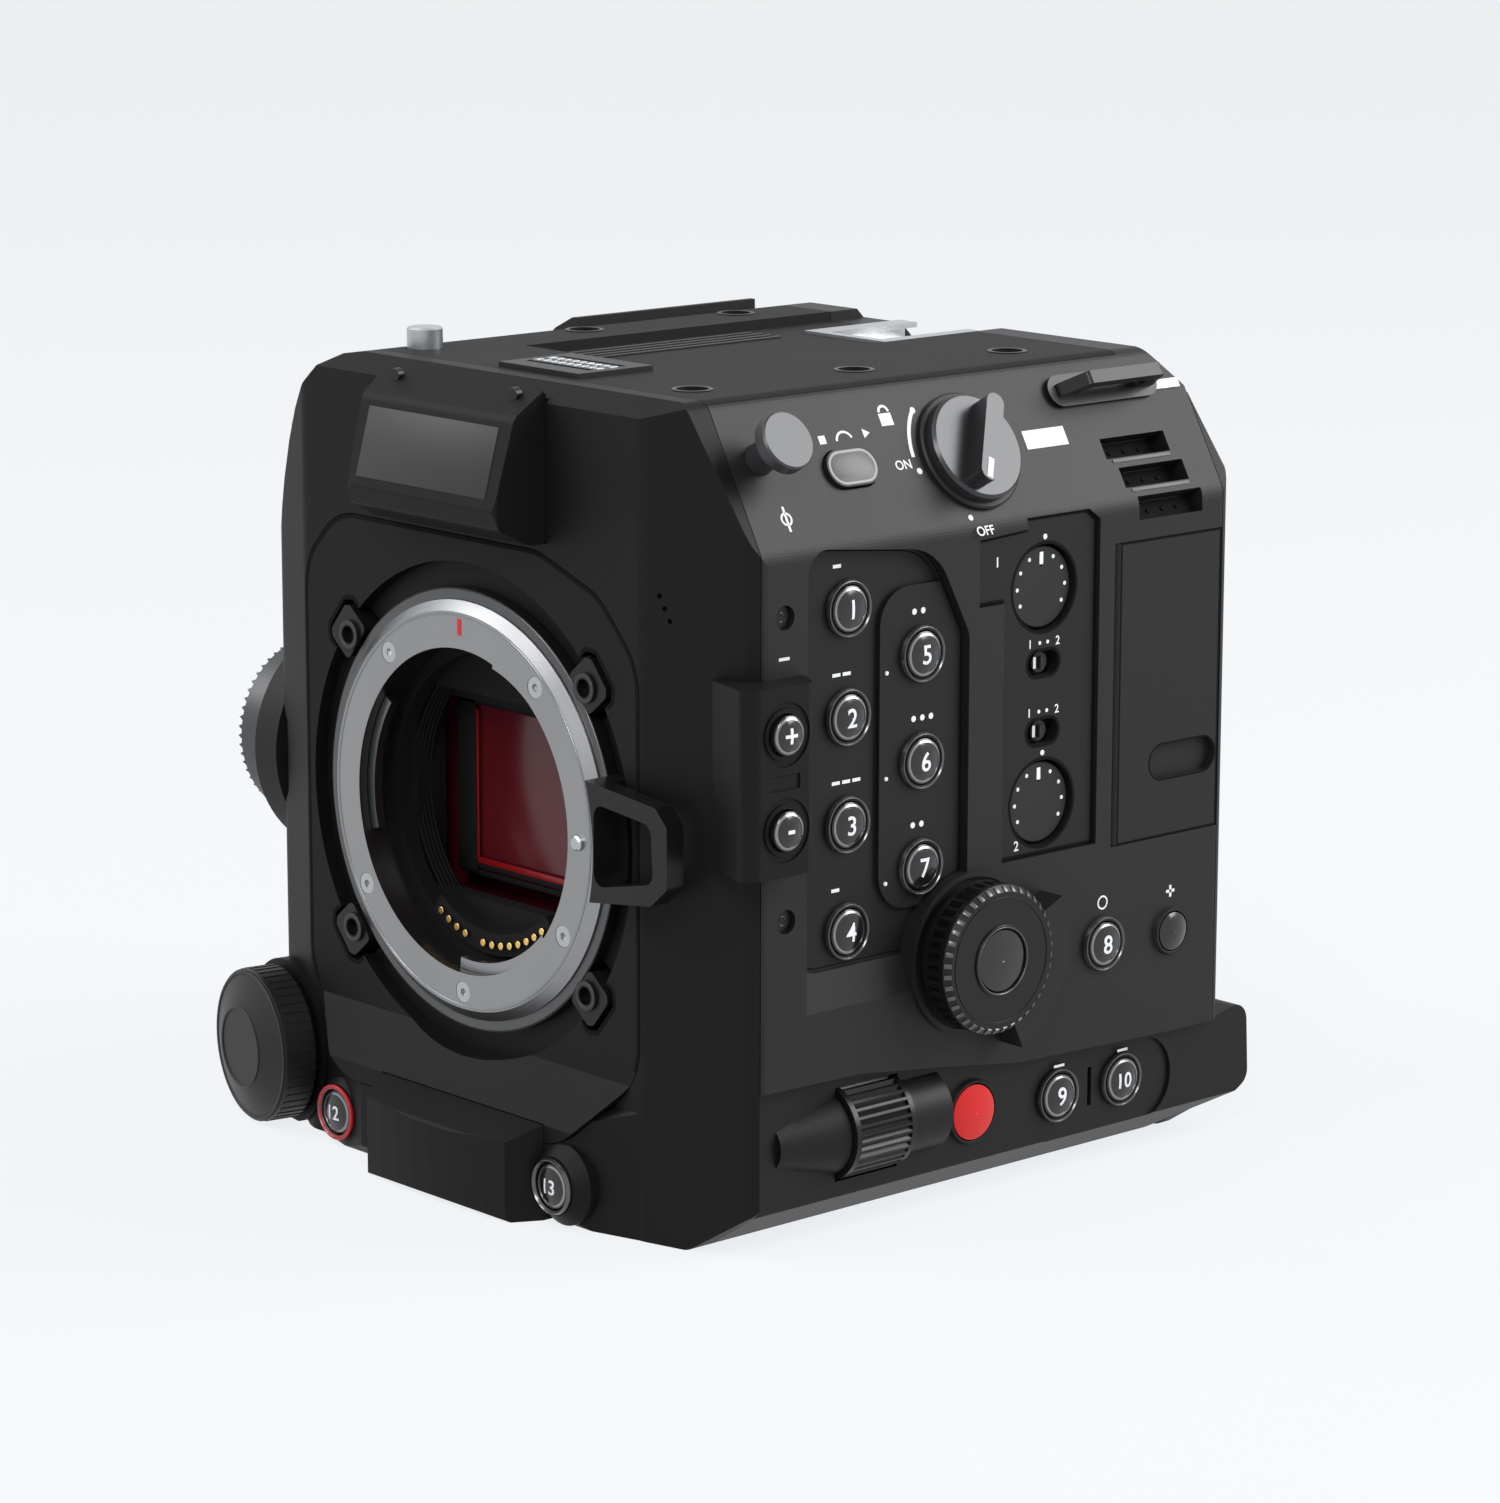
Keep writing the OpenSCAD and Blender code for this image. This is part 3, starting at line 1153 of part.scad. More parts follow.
module strap_loop() color(shade_dark) at_mount() on_shoulder(loop_y, loop_d) {
    along_z(0, loop_base_t) capsule(-loop_w / 2, -loop_base_h / 2, loop_w, loop_base_h);
    along_y(-loop_bar / 2, loop_bar / 2) difference() {
        polygon(rounded([[-loop_w / 2 + soft, 0], [loop_w / 2 - soft, 0], [loop_w / 2 - 3 * soft, loop_h], [-loop_w / 2 + 5 * soft, loop_h]], soft));
        polygon(rounded([[-loop_w / 2 + 5 * soft, loop_base_t], [loop_w / 2 - 5 * soft, loop_base_t], [loop_w / 2 - 5 * soft, loop_h - loop_bar],
            [-loop_w / 2 + 7 * soft, loop_h - loop_bar]], soft));
    }
}
module tally_lamps() color(shade_lamp) at_mount() {
    on_shoulder(lamp_y, lamp_d) span([fit, -lamp_h + fit, -lamp_in], [lamp_w, -fit, lamp_out]);
    front_lamp();
}
module tape_hook() color(shade_steel) at_mount() on_shoulder(hook_y, hook_d) rotate_extrude() polygon([
    [0, -hook_head_t], [hook_post_r - fit, -hook_head_t], [hook_post_r - fit, hook_h - hook_head_t],
    [hook_head_r, hook_h - hook_head_t + bezel_edge], [hook_head_r, hook_h - bezel_edge], [hook_head_r - bezel_edge, hook_h], [0, hook_h]]);

module terminal_cap() color(shade_dark) at_mount() at_cap() difference() {
    rotate_extrude() polygon([[0, -cap_t], [cap_r - soft, -cap_t], [cap_r, -cap_t + soft], [cap_r, -cap_cone],
                              [cap_flat_r, 0], [0, 0]]);
    plug(spigot_r + gap, -cap_t - over, -cap_t + spigot_h + gap);
}

module side_button(i) color(shade_dark) at_mount() on_side(numbered[i][0], numbered[i][1], plate_x + numbered[i][2]) button_shape();
module button_1() side_button(0);
module button_2() side_button(1);
module button_3() side_button(2);
module button_4() side_button(3);
module button_5() side_button(4);
module button_6() side_button(5);
module button_7() side_button(6);
module button_8() color(shade_dark) at_mount() on_side(b8_y, b8_z) button_shape();
module button_9() color(shade_dark) at_mount() on_side(b9_y, b9_z, strip_x - pad_d) button_shape();
module button_10() color(shade_dark) at_mount() on_side(b10_y, b9_z, strip_x - pad_d) button_shape();
module button_12() color(shade_dark) at_mount() on_front(b12_x, b12_z, b12_face) button_shape(face = soft);
module button_13() color(shade_dark) at_mount() on_front(b13_x, b13_z, b13_face) button_shape(face = soft);
module record_button() color(shade_red) at_mount() on_side(rec_y, rec_z, strip_x) button_shape(record_r);
module status_button() color(shade_dark) at_mount() on_side(status_y, status_z) button_shape(status_r);
module nd_plus() color(shade_dark) at_mount() on_side(nd_plus_y, nd_plus_z, nd_x) button_shape(nd_r);
module nd_minus() color(shade_dark) at_mount() on_side(nd_plus_y, nd_minus_z, nd_x) button_shape(nd_r);
module mode_button() color(shade_mid) at_mount() on_shoulder(mode_y, power_d)
    along_z(-button_depth, mode_face) capsule(-mode_w / 2, -mode_h / 2, mode_w, mode_h);

knurl_n = 40;
knurl_d = 0.5;
module select_dial() color(shade_dark) at_mount() on_side(dial_y, dial_z) difference() {
    union() {
        rotate_extrude() polygon([[0, gap], [select_r - soft, gap], [select_r - soft, soft], [select_r, 2 * soft],
            [select_r, select_h - soft], [select_r - soft, select_h], [0, select_h]]);
        plug(dial_shaft_r, -dial_shaft_h + gap, soft);
    }
    plug(push_r + button_gap, select_h - well_depth, select_h + over);
    for (i = [0:knurl_n - 1]) rotate([0, 0, 360 * i / knurl_n]) translate([select_r, 0, 0]) rotate([0, 0, 45])
        span([-knurl_d, -knurl_d, 3 * soft], [knurl_d, knurl_d, select_h - 2 * soft]);
}
module select_push() color(shade_dark) at_mount() on_side(dial_y, dial_z, side_r + select_h) button_shape(push_r, push_rise, button_depth, push_rise);

module power_dial() color(shade_steel) at_mount() on_shoulder(power_y, power_d) difference() {
    union() {
        rotate_extrude() polygon([[0, power_collar_h + fit], [power_r, power_collar_h + fit], [power_r, power_h], [power_r - soft / 2, power_h + soft / 2], [0, power_h + soft / 2]]);
        plug(power_shaft_r, -side_wall + 2 * soft, power_h);
        rotate([0, 0, 60]) intersection() {
            along_z(power_h, power_h + grip_h) capsule(-power_r + soft, -grip_w / 2, 2 * power_r - 2 * soft, grip_w);
            plug(power_r, 0, 2 * grip_h);
        }
    }
}

front_cover();
mount_panel();
chin();
control_cover();
lower_rail();
button_panel();
level_panel();
nd_block();
top_plate();
left_cover();
base_plate();
rear_cover();
chassis();
mount_ring();
mount_lugs();
contact_block();
sensor_unit();
main_board();
fan_frame();
card_cage();
rear_terminals();
accessory_shoe();
top_terminal();
rosette();
fasteners();
strap_loop();
tally_lamps();
tape_hook();
lock_ring();
lock_pin();
nd_filter();
fan_rotor();
battery();
button_1();
button_2();
button_3();
button_4();
button_5();
button_6();
button_7();
button_8();
button_9();
button_10();
button_12();
button_13();
record_button();
status_button();
mode_button();
nd_plus();
nd_minus();
select_dial();
select_push();
power_dial();
level_knob_1();
level_knob_2();
level_switch_1();
level_switch_2();
drum_wheel();
media_door();
terminal_cap();
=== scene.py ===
"""Looks of a digital cinema camera body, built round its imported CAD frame.

Every place is given in millimetres from the middle of the lens flange: x to the control side,
y to the rear, z up. The Face class turns such places into the row frame, which is in metres.
"""

import logging
import math
from dataclasses import dataclass
from enum import Enum
from functools import cache, partial

import bmesh
import bpy
from mathutils import Matrix, Vector


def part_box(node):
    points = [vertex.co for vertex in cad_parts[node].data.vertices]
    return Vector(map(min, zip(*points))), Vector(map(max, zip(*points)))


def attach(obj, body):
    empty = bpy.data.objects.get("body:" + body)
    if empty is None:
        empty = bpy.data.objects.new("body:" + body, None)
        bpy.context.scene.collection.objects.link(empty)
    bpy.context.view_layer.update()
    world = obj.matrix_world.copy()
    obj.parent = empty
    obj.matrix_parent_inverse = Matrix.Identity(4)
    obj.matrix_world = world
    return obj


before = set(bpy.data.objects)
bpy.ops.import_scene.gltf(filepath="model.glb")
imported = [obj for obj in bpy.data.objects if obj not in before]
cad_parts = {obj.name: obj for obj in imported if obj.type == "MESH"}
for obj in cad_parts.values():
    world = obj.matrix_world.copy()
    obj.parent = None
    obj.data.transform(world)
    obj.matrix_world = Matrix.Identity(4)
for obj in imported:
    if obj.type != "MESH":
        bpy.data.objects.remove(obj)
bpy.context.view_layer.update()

Pair = tuple[float, float]
Triple = tuple[float, float, float]
Quad = tuple[float, float, float, float]
Tree = bpy.types.NodeTree
Socket = bpy.types.NodeSocket

LOG = logging.getLogger("camera")
MM = 0.001
# The row frame's origin lies this far behind the flange and below its axis.
SOCKET_Y = 52.0
AXIS_H = 63.0
# Planes of the casing.
TOP_H = 72.0
SIDE_X = 64.0
PANEL_Y = 1.5
SHOULDER_W = 13.0
SHOULDER_H = 23.0
TILT = math.atan2(SHOULDER_W, SHOULDER_H)
# Places that several classes share.
SHOULDER_ROW = 13.9
POWER_Y = 57.6
MODE_Y = 32.0
LEVEL_Y = 70.0
KNOB_ZS = (37.3, 1.8)
SWITCH_ZS = (24.9, 13.6)
BUTTON_YS = (27.8, 43.1)
BUTTON_ZS = (38.8, 29.8)
STRIP_YS = (76.2, 91.2)
PITCH = 17.25
RED_RING_AT = (-31.7, -57.0)
# Edges sharper than this stay hard.
CREASE = math.radians(32)
# Thicknesses of print.
LIFT = 0.03
THIN_INK = 0.04
INK = 0.05
THICK_INK = 0.06


def place(x: float, y: float, z: float) -> Vector:
    """Turns a place from the lens flange into the row frame.

    Args:
        x: Millimetres to the control side.
        y: Millimetres to the rear.
        z: Millimetres up.

    Returns:
        The place in metres in the row frame.
    """
    return Vector((x, y - SOCKET_Y, z + AXIS_H)) * MM


def shift(x: float, y: float = 0.0, z: float = 0.0) -> Matrix:
    """Returns the matrix of a plain move."""
    return Matrix.Translation((x, y, z))


@dataclass(frozen=True)
class Face:
    """A flat place on the body that details are laid out on."""

    origin: Vector
    right: Vector
    up: Vector

    def matrix(self, u: float = 0.0, v: float = 0.0, turn: float = 0.0) -> Matrix:
        """Gives the matrix from local millimetres to the row frame.

        Args:
            u: Shift to the right, in millimetres.
            v: Shift up, in millimetres.
            turn: Turn about the outward axis, in degrees.

        Returns:
            The matrix.
        """
        out = self.right.cross(self.up)
        basis = Matrix((self.right, self.up, out)).transposed().to_4x4()
        here = Matrix.Translation(self.origin) @ basis @ Matrix.Scale(MM, 4)
        return here @ shift(u, v) @ Matrix.Rotation(math.radians(turn), 4, "Z")

    def polar(self, radius: float, degrees: float) -> Matrix:
        """Returns the matrix of a spot on a circle about the place, itself unturned."""
        a = math.radians(degrees)
        return self.matrix(radius * math.cos(a), radius * math.sin(a))

    @staticmethod
    def side(y: float, z: float, x: float = SIDE_X) -> "Face":
        """Returns a face on the control side."""
        return Face(place(x, y, z), Vector((0, 1, 0)), Vector((0, 0, 1)))

    @staticmethod
    def front(x: float, z: float, y: float = PANEL_Y) -> "Face":
        """Returns a face on the front."""
        return Face(place(x, y, z), Vector((1, 0, 0)), Vector((0, 0, 1)))

    @staticmethod
    def top(x: float, y: float, z: float = TOP_H) -> "Face":
        """Returns a face on the top, read from the control side."""
        return Face(place(x, y, z), Vector((0, 1, 0)), Vector((-1, 0, 0)))

    @staticmethod
    def shoulder(y: float, d: float, h: float = 0.0) -> "Face":
        """Gives a face on the sloping shoulder.

        Args:
            y: Millimetres to the rear.
            d: Millimetres down the slope.
            h: Millimetres above it.

        Returns:
            The face.
        """
        nx, nz = math.cos(TILT), math.sin(TILT)
        x = SIDE_X - SHOULDER_W + d * math.sin(TILT) + h * nx
        z = TOP_H - d * math.cos(TILT) + h * nz
        return Face(place(x, y, z), Vector((0, 1, 0)), Vector((-nz, 0, nx)))


Spot = Face | Matrix


class Texture(Enum):
    """How the fine texture of a finish runs."""

    PLAIN = "plain"
    GRAIN = "grain"
    BRUSHED = "brushed"
    TURNED = "turned"


@dataclass(frozen=True)
class Finish:
    """One surface finish, with lengths in metres.

    The texture has a scale and a depth. The tint and rough_spread say how far colour and
    roughness vary, and inside the radius bore the walls along the lens axis are black.
    """

    name: str
    base: Triple
    rough: float = 0.55
    metallic: float = 0.0
    coat: float = 0.0
    specular: float = 0.5
    texture: Texture = Texture.GRAIN
    scale: float = 1500.0
    depth: float = 0.00003
    tint: float = 0.12
    rough_spread: float = 0.10
    bore: float = 0.0


class Signal:
    """A shader value that can stand in sums."""

    def __init__(self, tree: Tree, socket: Socket) -> None:
        """Wraps an output socket of a node tree."""
        self.tree = tree
        self.socket = socket

    def _join(self, kind: str, other: "Signal | float", swap: bool = False,
              clamp: bool = False) -> "Signal":
        """Puts this value and another through one Math node.

        Args:
            kind: The node's operation.
            other: The other value.
            swap: Whether the other value comes first.
            clamp: Whether the result is held between nought and one.

        Returns:
            The result.
        """
        mine, theirs = (1, 0) if swap else (0, 1)
        settings = {"operation": kind, "use_clamp": clamp}
        node = add_node(self.tree, "ShaderNodeMath", settings, {mine: self, theirs: other})
        return Signal(self.tree, node.outputs[0])

    def __add__(self, other: "Signal | float") -> "Signal":
        """Returns the sum."""
        return self._join("ADD", other)

    def __sub__(self, other: "Signal | float") -> "Signal":
        """Returns the difference."""
        return self._join("SUBTRACT", other)

    def __rsub__(self, other: float) -> "Signal":
        """Returns the difference taken from a number."""
        return self._join("SUBTRACT", other, swap=True)

    def __mul__(self, other: "Signal | float") -> "Signal":
        """Returns the product."""
        return self._join("MULTIPLY", other)

    def __pow__(self, other: "Signal | float") -> "Signal":
        """Returns the power."""
        return self._join("POWER", other)

    def __lt__(self, other: "Signal | float") -> "Signal":
        """Returns one where this value is the lesser."""
        return self._join("LESS_THAN", other)

    __radd__ = __add__
    __rmul__ = __mul__

    def clamp(self) -> "Signal":
        """Returns the value held between nought and one."""
        return self._join("ADD", 0.0, clamp=True)


def add_node(tree: Tree, kind: str, settings: dict[str, object] | None = None,
             inputs: dict[str | int, object] | None = None) -> bpy.types.Node:
    """Adds one shader node.

    Args:
        tree: The tree it goes into.
        kind: Type of the node.
        settings: Its own settings, which are set first.
        inputs: Values or links of its sockets.

    Returns:
        The node.
    """
    node = tree.nodes.new(kind)
    for key, value in (settings or {}).items():
        setattr(node, key, value)
    for key, value in (inputs or {}).items():
        source = value.socket if isinstance(value, Signal) else value
        if isinstance(source, Socket):
            tree.links.new(source, node.inputs[key])
        else:
            node.inputs[key].default_value = source
    return node


def clean_tree(owner: bpy.types.Material | bpy.types.World) -> Tree:
    """Empties the node tree of a material or a world.

    Args:
        owner: What the tree belongs to.

    Returns:
        The empty tree.
    """
    owner.use_nodes = True
    owner.node_tree.nodes.clear()
    return owner.node_tree


class Skin:
    """The procedural material of one finish."""

    BROAD_SCALE = 38.0
    BROAD_DETAIL = 3.0
    FINE_DETAIL = 2.0
    BROAD_SHARE = 0.55
    FINE_SHARE = 0.45
    BRUSHING = (1.0, 0.04, 1.0)
    BUMP = 0.6
    COAT_ROUGH = 0.12
    BORE_BLACK = (0.006, 0.006, 0.0065, 1)

    def __init__(self, finish: Finish) -> None:
        """Starts the material.

        Args:
            finish: The finish that it shows.
        """
        self.finish = finish
        self.material = bpy.data.materials.new(finish.name)
        self.tree = clean_tree(self.material)
        self.where = add_node(self.tree, "ShaderNodeTexCoord").outputs["Object"]

    def build(self) -> bpy.types.Material:
        """Adds the nodes.

        Returns:
            The material.
        """
        finish = self.finish
        broad = self._noise(self.BROAD_SCALE, self.BROAD_DETAIL)
        fine = self._fine()
        low = [c * (1 - finish.tint) for c in finish.base]
        high = [min(1.0, c * (1 + finish.tint)) for c in finish.base]
        share = (broad * self.BROAD_SHARE + fine * self.FINE_SHARE).clamp()
        shade = self._blend(share, (*low, 1), (*high, 1))
        uneven = broad * 0.5 + fine * 0.5 - 0.5
        rough = (uneven * finish.rough_spread + finish.rough).clamp()
        metallic = finish.metallic
        if finish.bore:
            wall = self._bore()
            shade = self._blend(wall, shade, self.BORE_BLACK)
            metallic = (1 - wall) * finish.metallic
        sockets = {"Base Color": shade, "Roughness": rough, "Metallic": metallic,
                   "Coat Weight": finish.coat, "Coat Roughness": self.COAT_ROUGH,
                   "Specular IOR Level": finish.specular}
        if finish.texture is not Texture.PLAIN:
            bump = {"Strength": self.BUMP, "Distance": finish.depth, "Height": fine}
            sockets["Normal"] = self._node("ShaderNodeBump", **bump)[0]
        surface = self._node("ShaderNodeBsdfPrincipled", **sockets)[0]
        self._node("ShaderNodeOutputMaterial", Surface=surface)
        return self.material

    def _node(self, kind: str, **inputs: object) -> list[Socket]:
        """Adds a node with named inputs, and returns its outputs."""
        return list(add_node(self.tree, kind, None, inputs).outputs)

    def _blend(self, share: Signal, low: object, high: object) -> Socket:
        """Returns a colour between two colours."""
        inputs = {0: share, 6: low, 7: high}
        return add_node(self.tree, "ShaderNodeMix", {"data_type": "RGBA"}, inputs).outputs[2]

    def _parts(self, vector: Socket) -> list[Signal]:
        """Returns a vector's three parts."""
        return [Signal(self.tree, part)
                for part in self._node("ShaderNodeSeparateXYZ", Vector=vector)]

    def _radius(self) -> Signal:
        """Works out the distance from the lens axis.

        Returns:
            The distance in metres.
        """
        x, _, height = self._parts(self.where)
        z = height - AXIS_H * MM
        return (x * x + z * z) ** 0.5

    def _bore(self) -> Signal:
        """Masks the blackened walls inside the bore.

        Returns:
            One on the walls and nought on the faces.
        """
        slope = add_node(self.tree, "ShaderNodeTexCoord").outputs["Normal"]
        facing = self._parts(slope)[1]
        return ((1 - facing * facing) * (self._radius() < self.finish.bore)).clamp()

    def _noise(self, scale: float, detail: float, stretch: Triple = (1.0, 1.0, 1.0)) -> Signal:
        """Makes a noise over the object.

        Args:
            scale: Scale of the noise.
            detail: Its detail.
            stretch: Scale along each axis.

        Returns:
            The noise.
        """
        spread = self._node("ShaderNodeMapping", Vector=self.where, Scale=stretch)[0]
        noise = self._node("ShaderNodeTexNoise", Vector=spread, Scale=scale, Detail=detail)
        return Signal(self.tree, noise[0])

    def _fine(self) -> Signal:
        """Makes the fine texture.

        Returns:
            The texture.
        """
        scale = self.finish.scale
        if self.finish.texture is Texture.BRUSHED:
            return self._noise(scale, self.FINE_DETAIL, self.BRUSHING)
        if self.finish.texture is Texture.TURNED:
            inputs = {"Scale": scale, "Detail": self.FINE_DETAIL, "W": self._radius()}
            noise = add_node(self.tree, "ShaderNodeTexNoise", {"noise_dimensions": "1D"}, inputs)
            return Signal(self.tree, noise.outputs[0])
        return self._noise(scale, self.FINE_DETAIL)


@cache
def paint(finish: Finish) -> bpy.types.Material:
    """Returns the material of a finish, which is made once."""
    return Skin(finish).build()


class Shape:
    """A mesh being built from simple solids, in local millimetres."""

    MERGE = 0.0005
    CORNER_STEPS = 8
    DOME_CUTS = 3
    BOLD = 0.012

    def __init__(self) -> None:
        """Starts with an empty mesh."""
        self.bm = bmesh.new()

    def _since(self, before: set[bmesh.types.BMVert]) -> list[bmesh.types.BMVert]:
        """Returns the vertices that weren't there before."""
        return [v for v in self.bm.verts if v not in before]

    def _outwards(self, before: set[bmesh.types.BMVert]) -> None:
        """Turns the new faces outwards."""
        faces = {f for v in self._since(before) for f in v.link_faces}
        bmesh.ops.recalc_face_normals(self.bm, faces=list(faces))

    def _settle(self, before: set[bmesh.types.BMVert], spot: Spot | None) -> "Shape":
        """Puts the new vertices in their place.

        Args:
            before: The vertices that stay.
            spot: Where the others go, if anywhere.

        Returns:
            This shape.
        """
        if spot is not None:
            matrix = spot.matrix() if isinstance(spot, Face) else spot
            bmesh.ops.transform(self.bm, matrix=matrix, verts=self._since(before))
        return self

    def lathe(self, profile: list[Pair], steps: int = 64,
              spot: Spot | None = None, closed: bool = False) -> "Shape":
        """Adds a turned solid.

        Args:
            profile: Points of radius and height, in order.
            steps: Sides of the turn.
            spot: Where it goes.
            closed: Whether the last point joins the first.

        Returns:
            This shape.
        """
        before = set(self.bm.verts)
        verts = [self.bm.verts.new((r, 0.0, z)) for r, z in profile]
        pairs = list(zip(verts, verts[1:])) + ([(verts[-1], verts[0])] if closed else [])
        edges = [self.bm.edges.new(pair) for pair in pairs]
        bmesh.ops.spin(self.bm, geom=verts + edges, cent=(0, 0, 0), axis=(0, 0, 1),
                       dvec=(0, 0, 0), angle=2 * math.pi, steps=steps, use_merge=True,
                       use_duplicate=False)
        bmesh.ops.remove_doubles(self.bm, verts=self._since(before), dist=self.MERGE)
        self._outwards(before)
        return self._settle(before, spot)

    def ring(self, inner: float, outer: float, low: float, high: float, edge: float = 0.1,
             spot: Spot | None = None, steps: int = 64) -> "Shape":
        """Adds a ring with softened upper edges, or a disc where inner is nought.

        Args:
            inner: Inner radius.
            outer: Outer radius.
            low: Height of the underside.
            high: Height of the top.
            edge: Width of the softened edges.
            spot: Where it goes.
            steps: Sides of the turn.

        Returns:
            This shape.
        """
        profile = [(inner, low), (outer, low), (outer, high - edge), (outer - edge, high)]
        profile += [(inner + edge, high), (inner, high - edge)] if inner else [(0.0, high)]
        return self.lathe(profile, steps, spot, closed=inner > 0)

    def dot(self, radius: float, high: float, edge: float, spot: Spot,
            steps: int = 16) -> "Shape":
        """Adds a small disc that stands on its place."""
        return self.ring(0.0, radius, 0.0, high, edge, spot, steps)

    def prism(self, outline: list[Pair], low: float, high: float,
              edge: float = 0.0, spot: Spot | None = None) -> "Shape":
        """Adds an upright prism.

        Args:
            outline: Corners of its base, in order.
            low: Height of the underside.
            high: Height of the top.
            edge: Width of the bevel round the top.
            spot: Where it goes.

        Returns:
            This shape.
        """
        before = set(self.bm.verts)
        base = self.bm.faces.new([self.bm.verts.new((x, y, low)) for x, y in outline])
        grown = bmesh.ops.extrude_face_region(self.bm, geom=[base])["geom"]
        upper = {v for v in grown if isinstance(v, bmesh.types.BMVert)}
        bmesh.ops.translate(self.bm, verts=list(upper), vec=(0, 0, high - low))
        if edge > 0:
            rim = [e for e in self.bm.edges if e.verts[0] in upper and e.verts[1] in upper]
            bmesh.ops.bevel(self.bm, geom=rim, offset=edge, offset_type="OFFSET", segments=2,
                            profile=0.5, affect="EDGES", material=-1, clamp_overlap=True)
        self._outwards(before)
        return self._settle(before, spot)

    def bar(self, width: float, height: float, low: float, high: float, edge: float = 0.0,
            spot: Spot | None = None) -> "Shape":
        """Adds a flat bar with its middle at the origin."""
        w, h = width / 2, height / 2
        return self.prism([(-w, -h), (w, -h), (w, h), (-w, h)], low, high, edge, spot)

    def dash(self, width: float, height: float, spot: Spot, high: float = INK) -> "Shape":
        """Adds a thin bar that stands on its place."""
        return self.bar(width, height, 0.0, high, 0.0, spot)

    def capsule(self, width: float, height: float, low: float, high: float, edge: float = 0.0,
                spot: Spot | None = None) -> "Shape":
        """Adds a bar with round ends.

        Args:
            width: Whole width.
            height: Whole height.
            low: Height of the underside.
            high: Height of the top.
            edge: Width of the bevel round the top.
            spot: Where it goes.

        Returns:
            This shape.
        """
        r = min(width, height) / 2
        dx, dy = width / 2 - r, height / 2 - r
        points = []
        for corner, (sx, sy) in enumerate(((1, 1), (-1, 1), (-1, -1), (1, -1))):
            for k in range(self.CORNER_STEPS + 1):
                a = math.radians(90 * corner + 90 * k / self.CORNER_STEPS)
                points.append((sx * dx + r * math.cos(a), sy * dy + r * math.sin(a)))
        clean = [p for i, p in enumerate(points) if math.dist(p, points[i - 1]) > 1e-6]
        return self.prism(clean, low, high, edge, spot)

    def band(self, radii: Pair, turn: Pair, high: float,
             spot: Spot, steps: int = 24) -> "Shape":
        """Adds part of a flat ring that stands on its place.

        Args:
            radii: Inner and outer radius.
            turn: Angles where it starts and ends, in degrees.
            high: Height of the top.
            spot: Where it goes.
            steps: Sides of the part.

        Returns:
            This shape.
        """
        start, end = turn
        inner, outer = radii
        angles = [math.radians(start + (end - start) * i / steps) for i in range(steps + 1)]
        outline = [(outer * math.cos(a), outer * math.sin(a)) for a in angles]
        outline += [(inner * math.cos(a), inner * math.sin(a)) for a in reversed(angles)]
        return self.prism(outline, 0.0, high, 0.0, spot)

    def words(self, text: str, size: float, spot: Spot, low: float = 0.0,
              thick: float = LIFT, dome: Pair | None = None) -> "Shape":
        """Adds figures, centred on the origin.

        Args:
            text: The figures.
            size: Height of the letters' body.
            spot: Where they go.
            low: Height of their underside.
            thick: How far they stand up.
            dome: Sphere radius and crown height that they follow, if any.

        Returns:
            This shape.
        """
        curve = bpy.data.curves.new("figures", "FONT")
        curve.body = text
        curve.size = size
        curve.align_x = "CENTER"
        curve.align_y = "CENTER"
        curve.extrude = thick / 2
        curve.offset = self.BOLD * size
        holder = bpy.data.objects.new("figures", curve)
        before = set(self.bm.verts)
        self.bm.from_mesh(holder.to_mesh())
        holder.to_mesh_clear()
        bpy.data.objects.remove(holder)
        bpy.data.curves.remove(curve)
        bmesh.ops.remove_doubles(self.bm, verts=self._since(before), dist=self.MERGE)
        if dome:
            edges = {e for v in self._since(before) for e in v.link_edges}
            bmesh.ops.subdivide_edges(self.bm, edges=list(edges), cuts=self.DOME_CUTS,
                                      use_grid_fill=True)
        fresh = self._since(before)
        xs = [v.co.x for v in fresh]
        ys = [v.co.y for v in fresh]
        mid = Vector(((min(xs) + max(xs)) / 2, (min(ys) + max(ys)) / 2, -thick / 2 - low))
        for v in fresh:
            v.co -= mid
            if dome:
                radius, crown = dome
                v.co.z += crown - radius + math.sqrt(radius ** 2 - v.co.x ** 2 - v.co.y ** 2)
        return self._settle(before, spot)


def dress(name: str, finish: Finish) -> None:
    """Gives a CAD node a finish.

    Args:
        name: Name of the node.
        finish: The finish.
    """
    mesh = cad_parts[name].data
    mesh.materials.clear()
    mesh.materials.append(paint(finish))


def add_piece(name: str, shape: Shape, body: str, finish: Finish) -> None:
    """Adds a piece that rides on a body.

    Args:
        name: Name of the piece.
        shape: Its mesh, already in the row frame.
        body: Body it moves with.
        finish: Finish it is shown with.
    """
    mesh = bpy.data.meshes.new(name)
    for edge in shape.bm.edges:
        if len(edge.link_faces) == 2 and edge.calc_face_angle(0.0) > CREASE:
            edge.smooth = False
    for face in shape.bm.faces:
        face.smooth = True
    shape.bm.to_mesh(mesh)
    shape.bm.free()
    piece = bpy.data.objects.new(name, mesh)
    bpy.context.scene.collection.objects.link(piece)
    mesh.materials.append(paint(finish))
    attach(piece, body)
    LOG.info("%s rides on %s", name, body)


MOULDED = partial(Finish, scale=2600.0, depth=0.00002)
SATIN = partial(Finish, scale=2600.0, depth=0.00001)
SMOOTH = partial(Finish, scale=2200.0, depth=0.00001)
CAST = partial(Finish, scale=1800.0, depth=0.00001)
PLAIN = partial(Finish, texture=Texture.PLAIN)
BRUSHED = partial(Finish, texture=Texture.BRUSHED)
TURNED = partial(Finish, texture=Texture.TURNED)

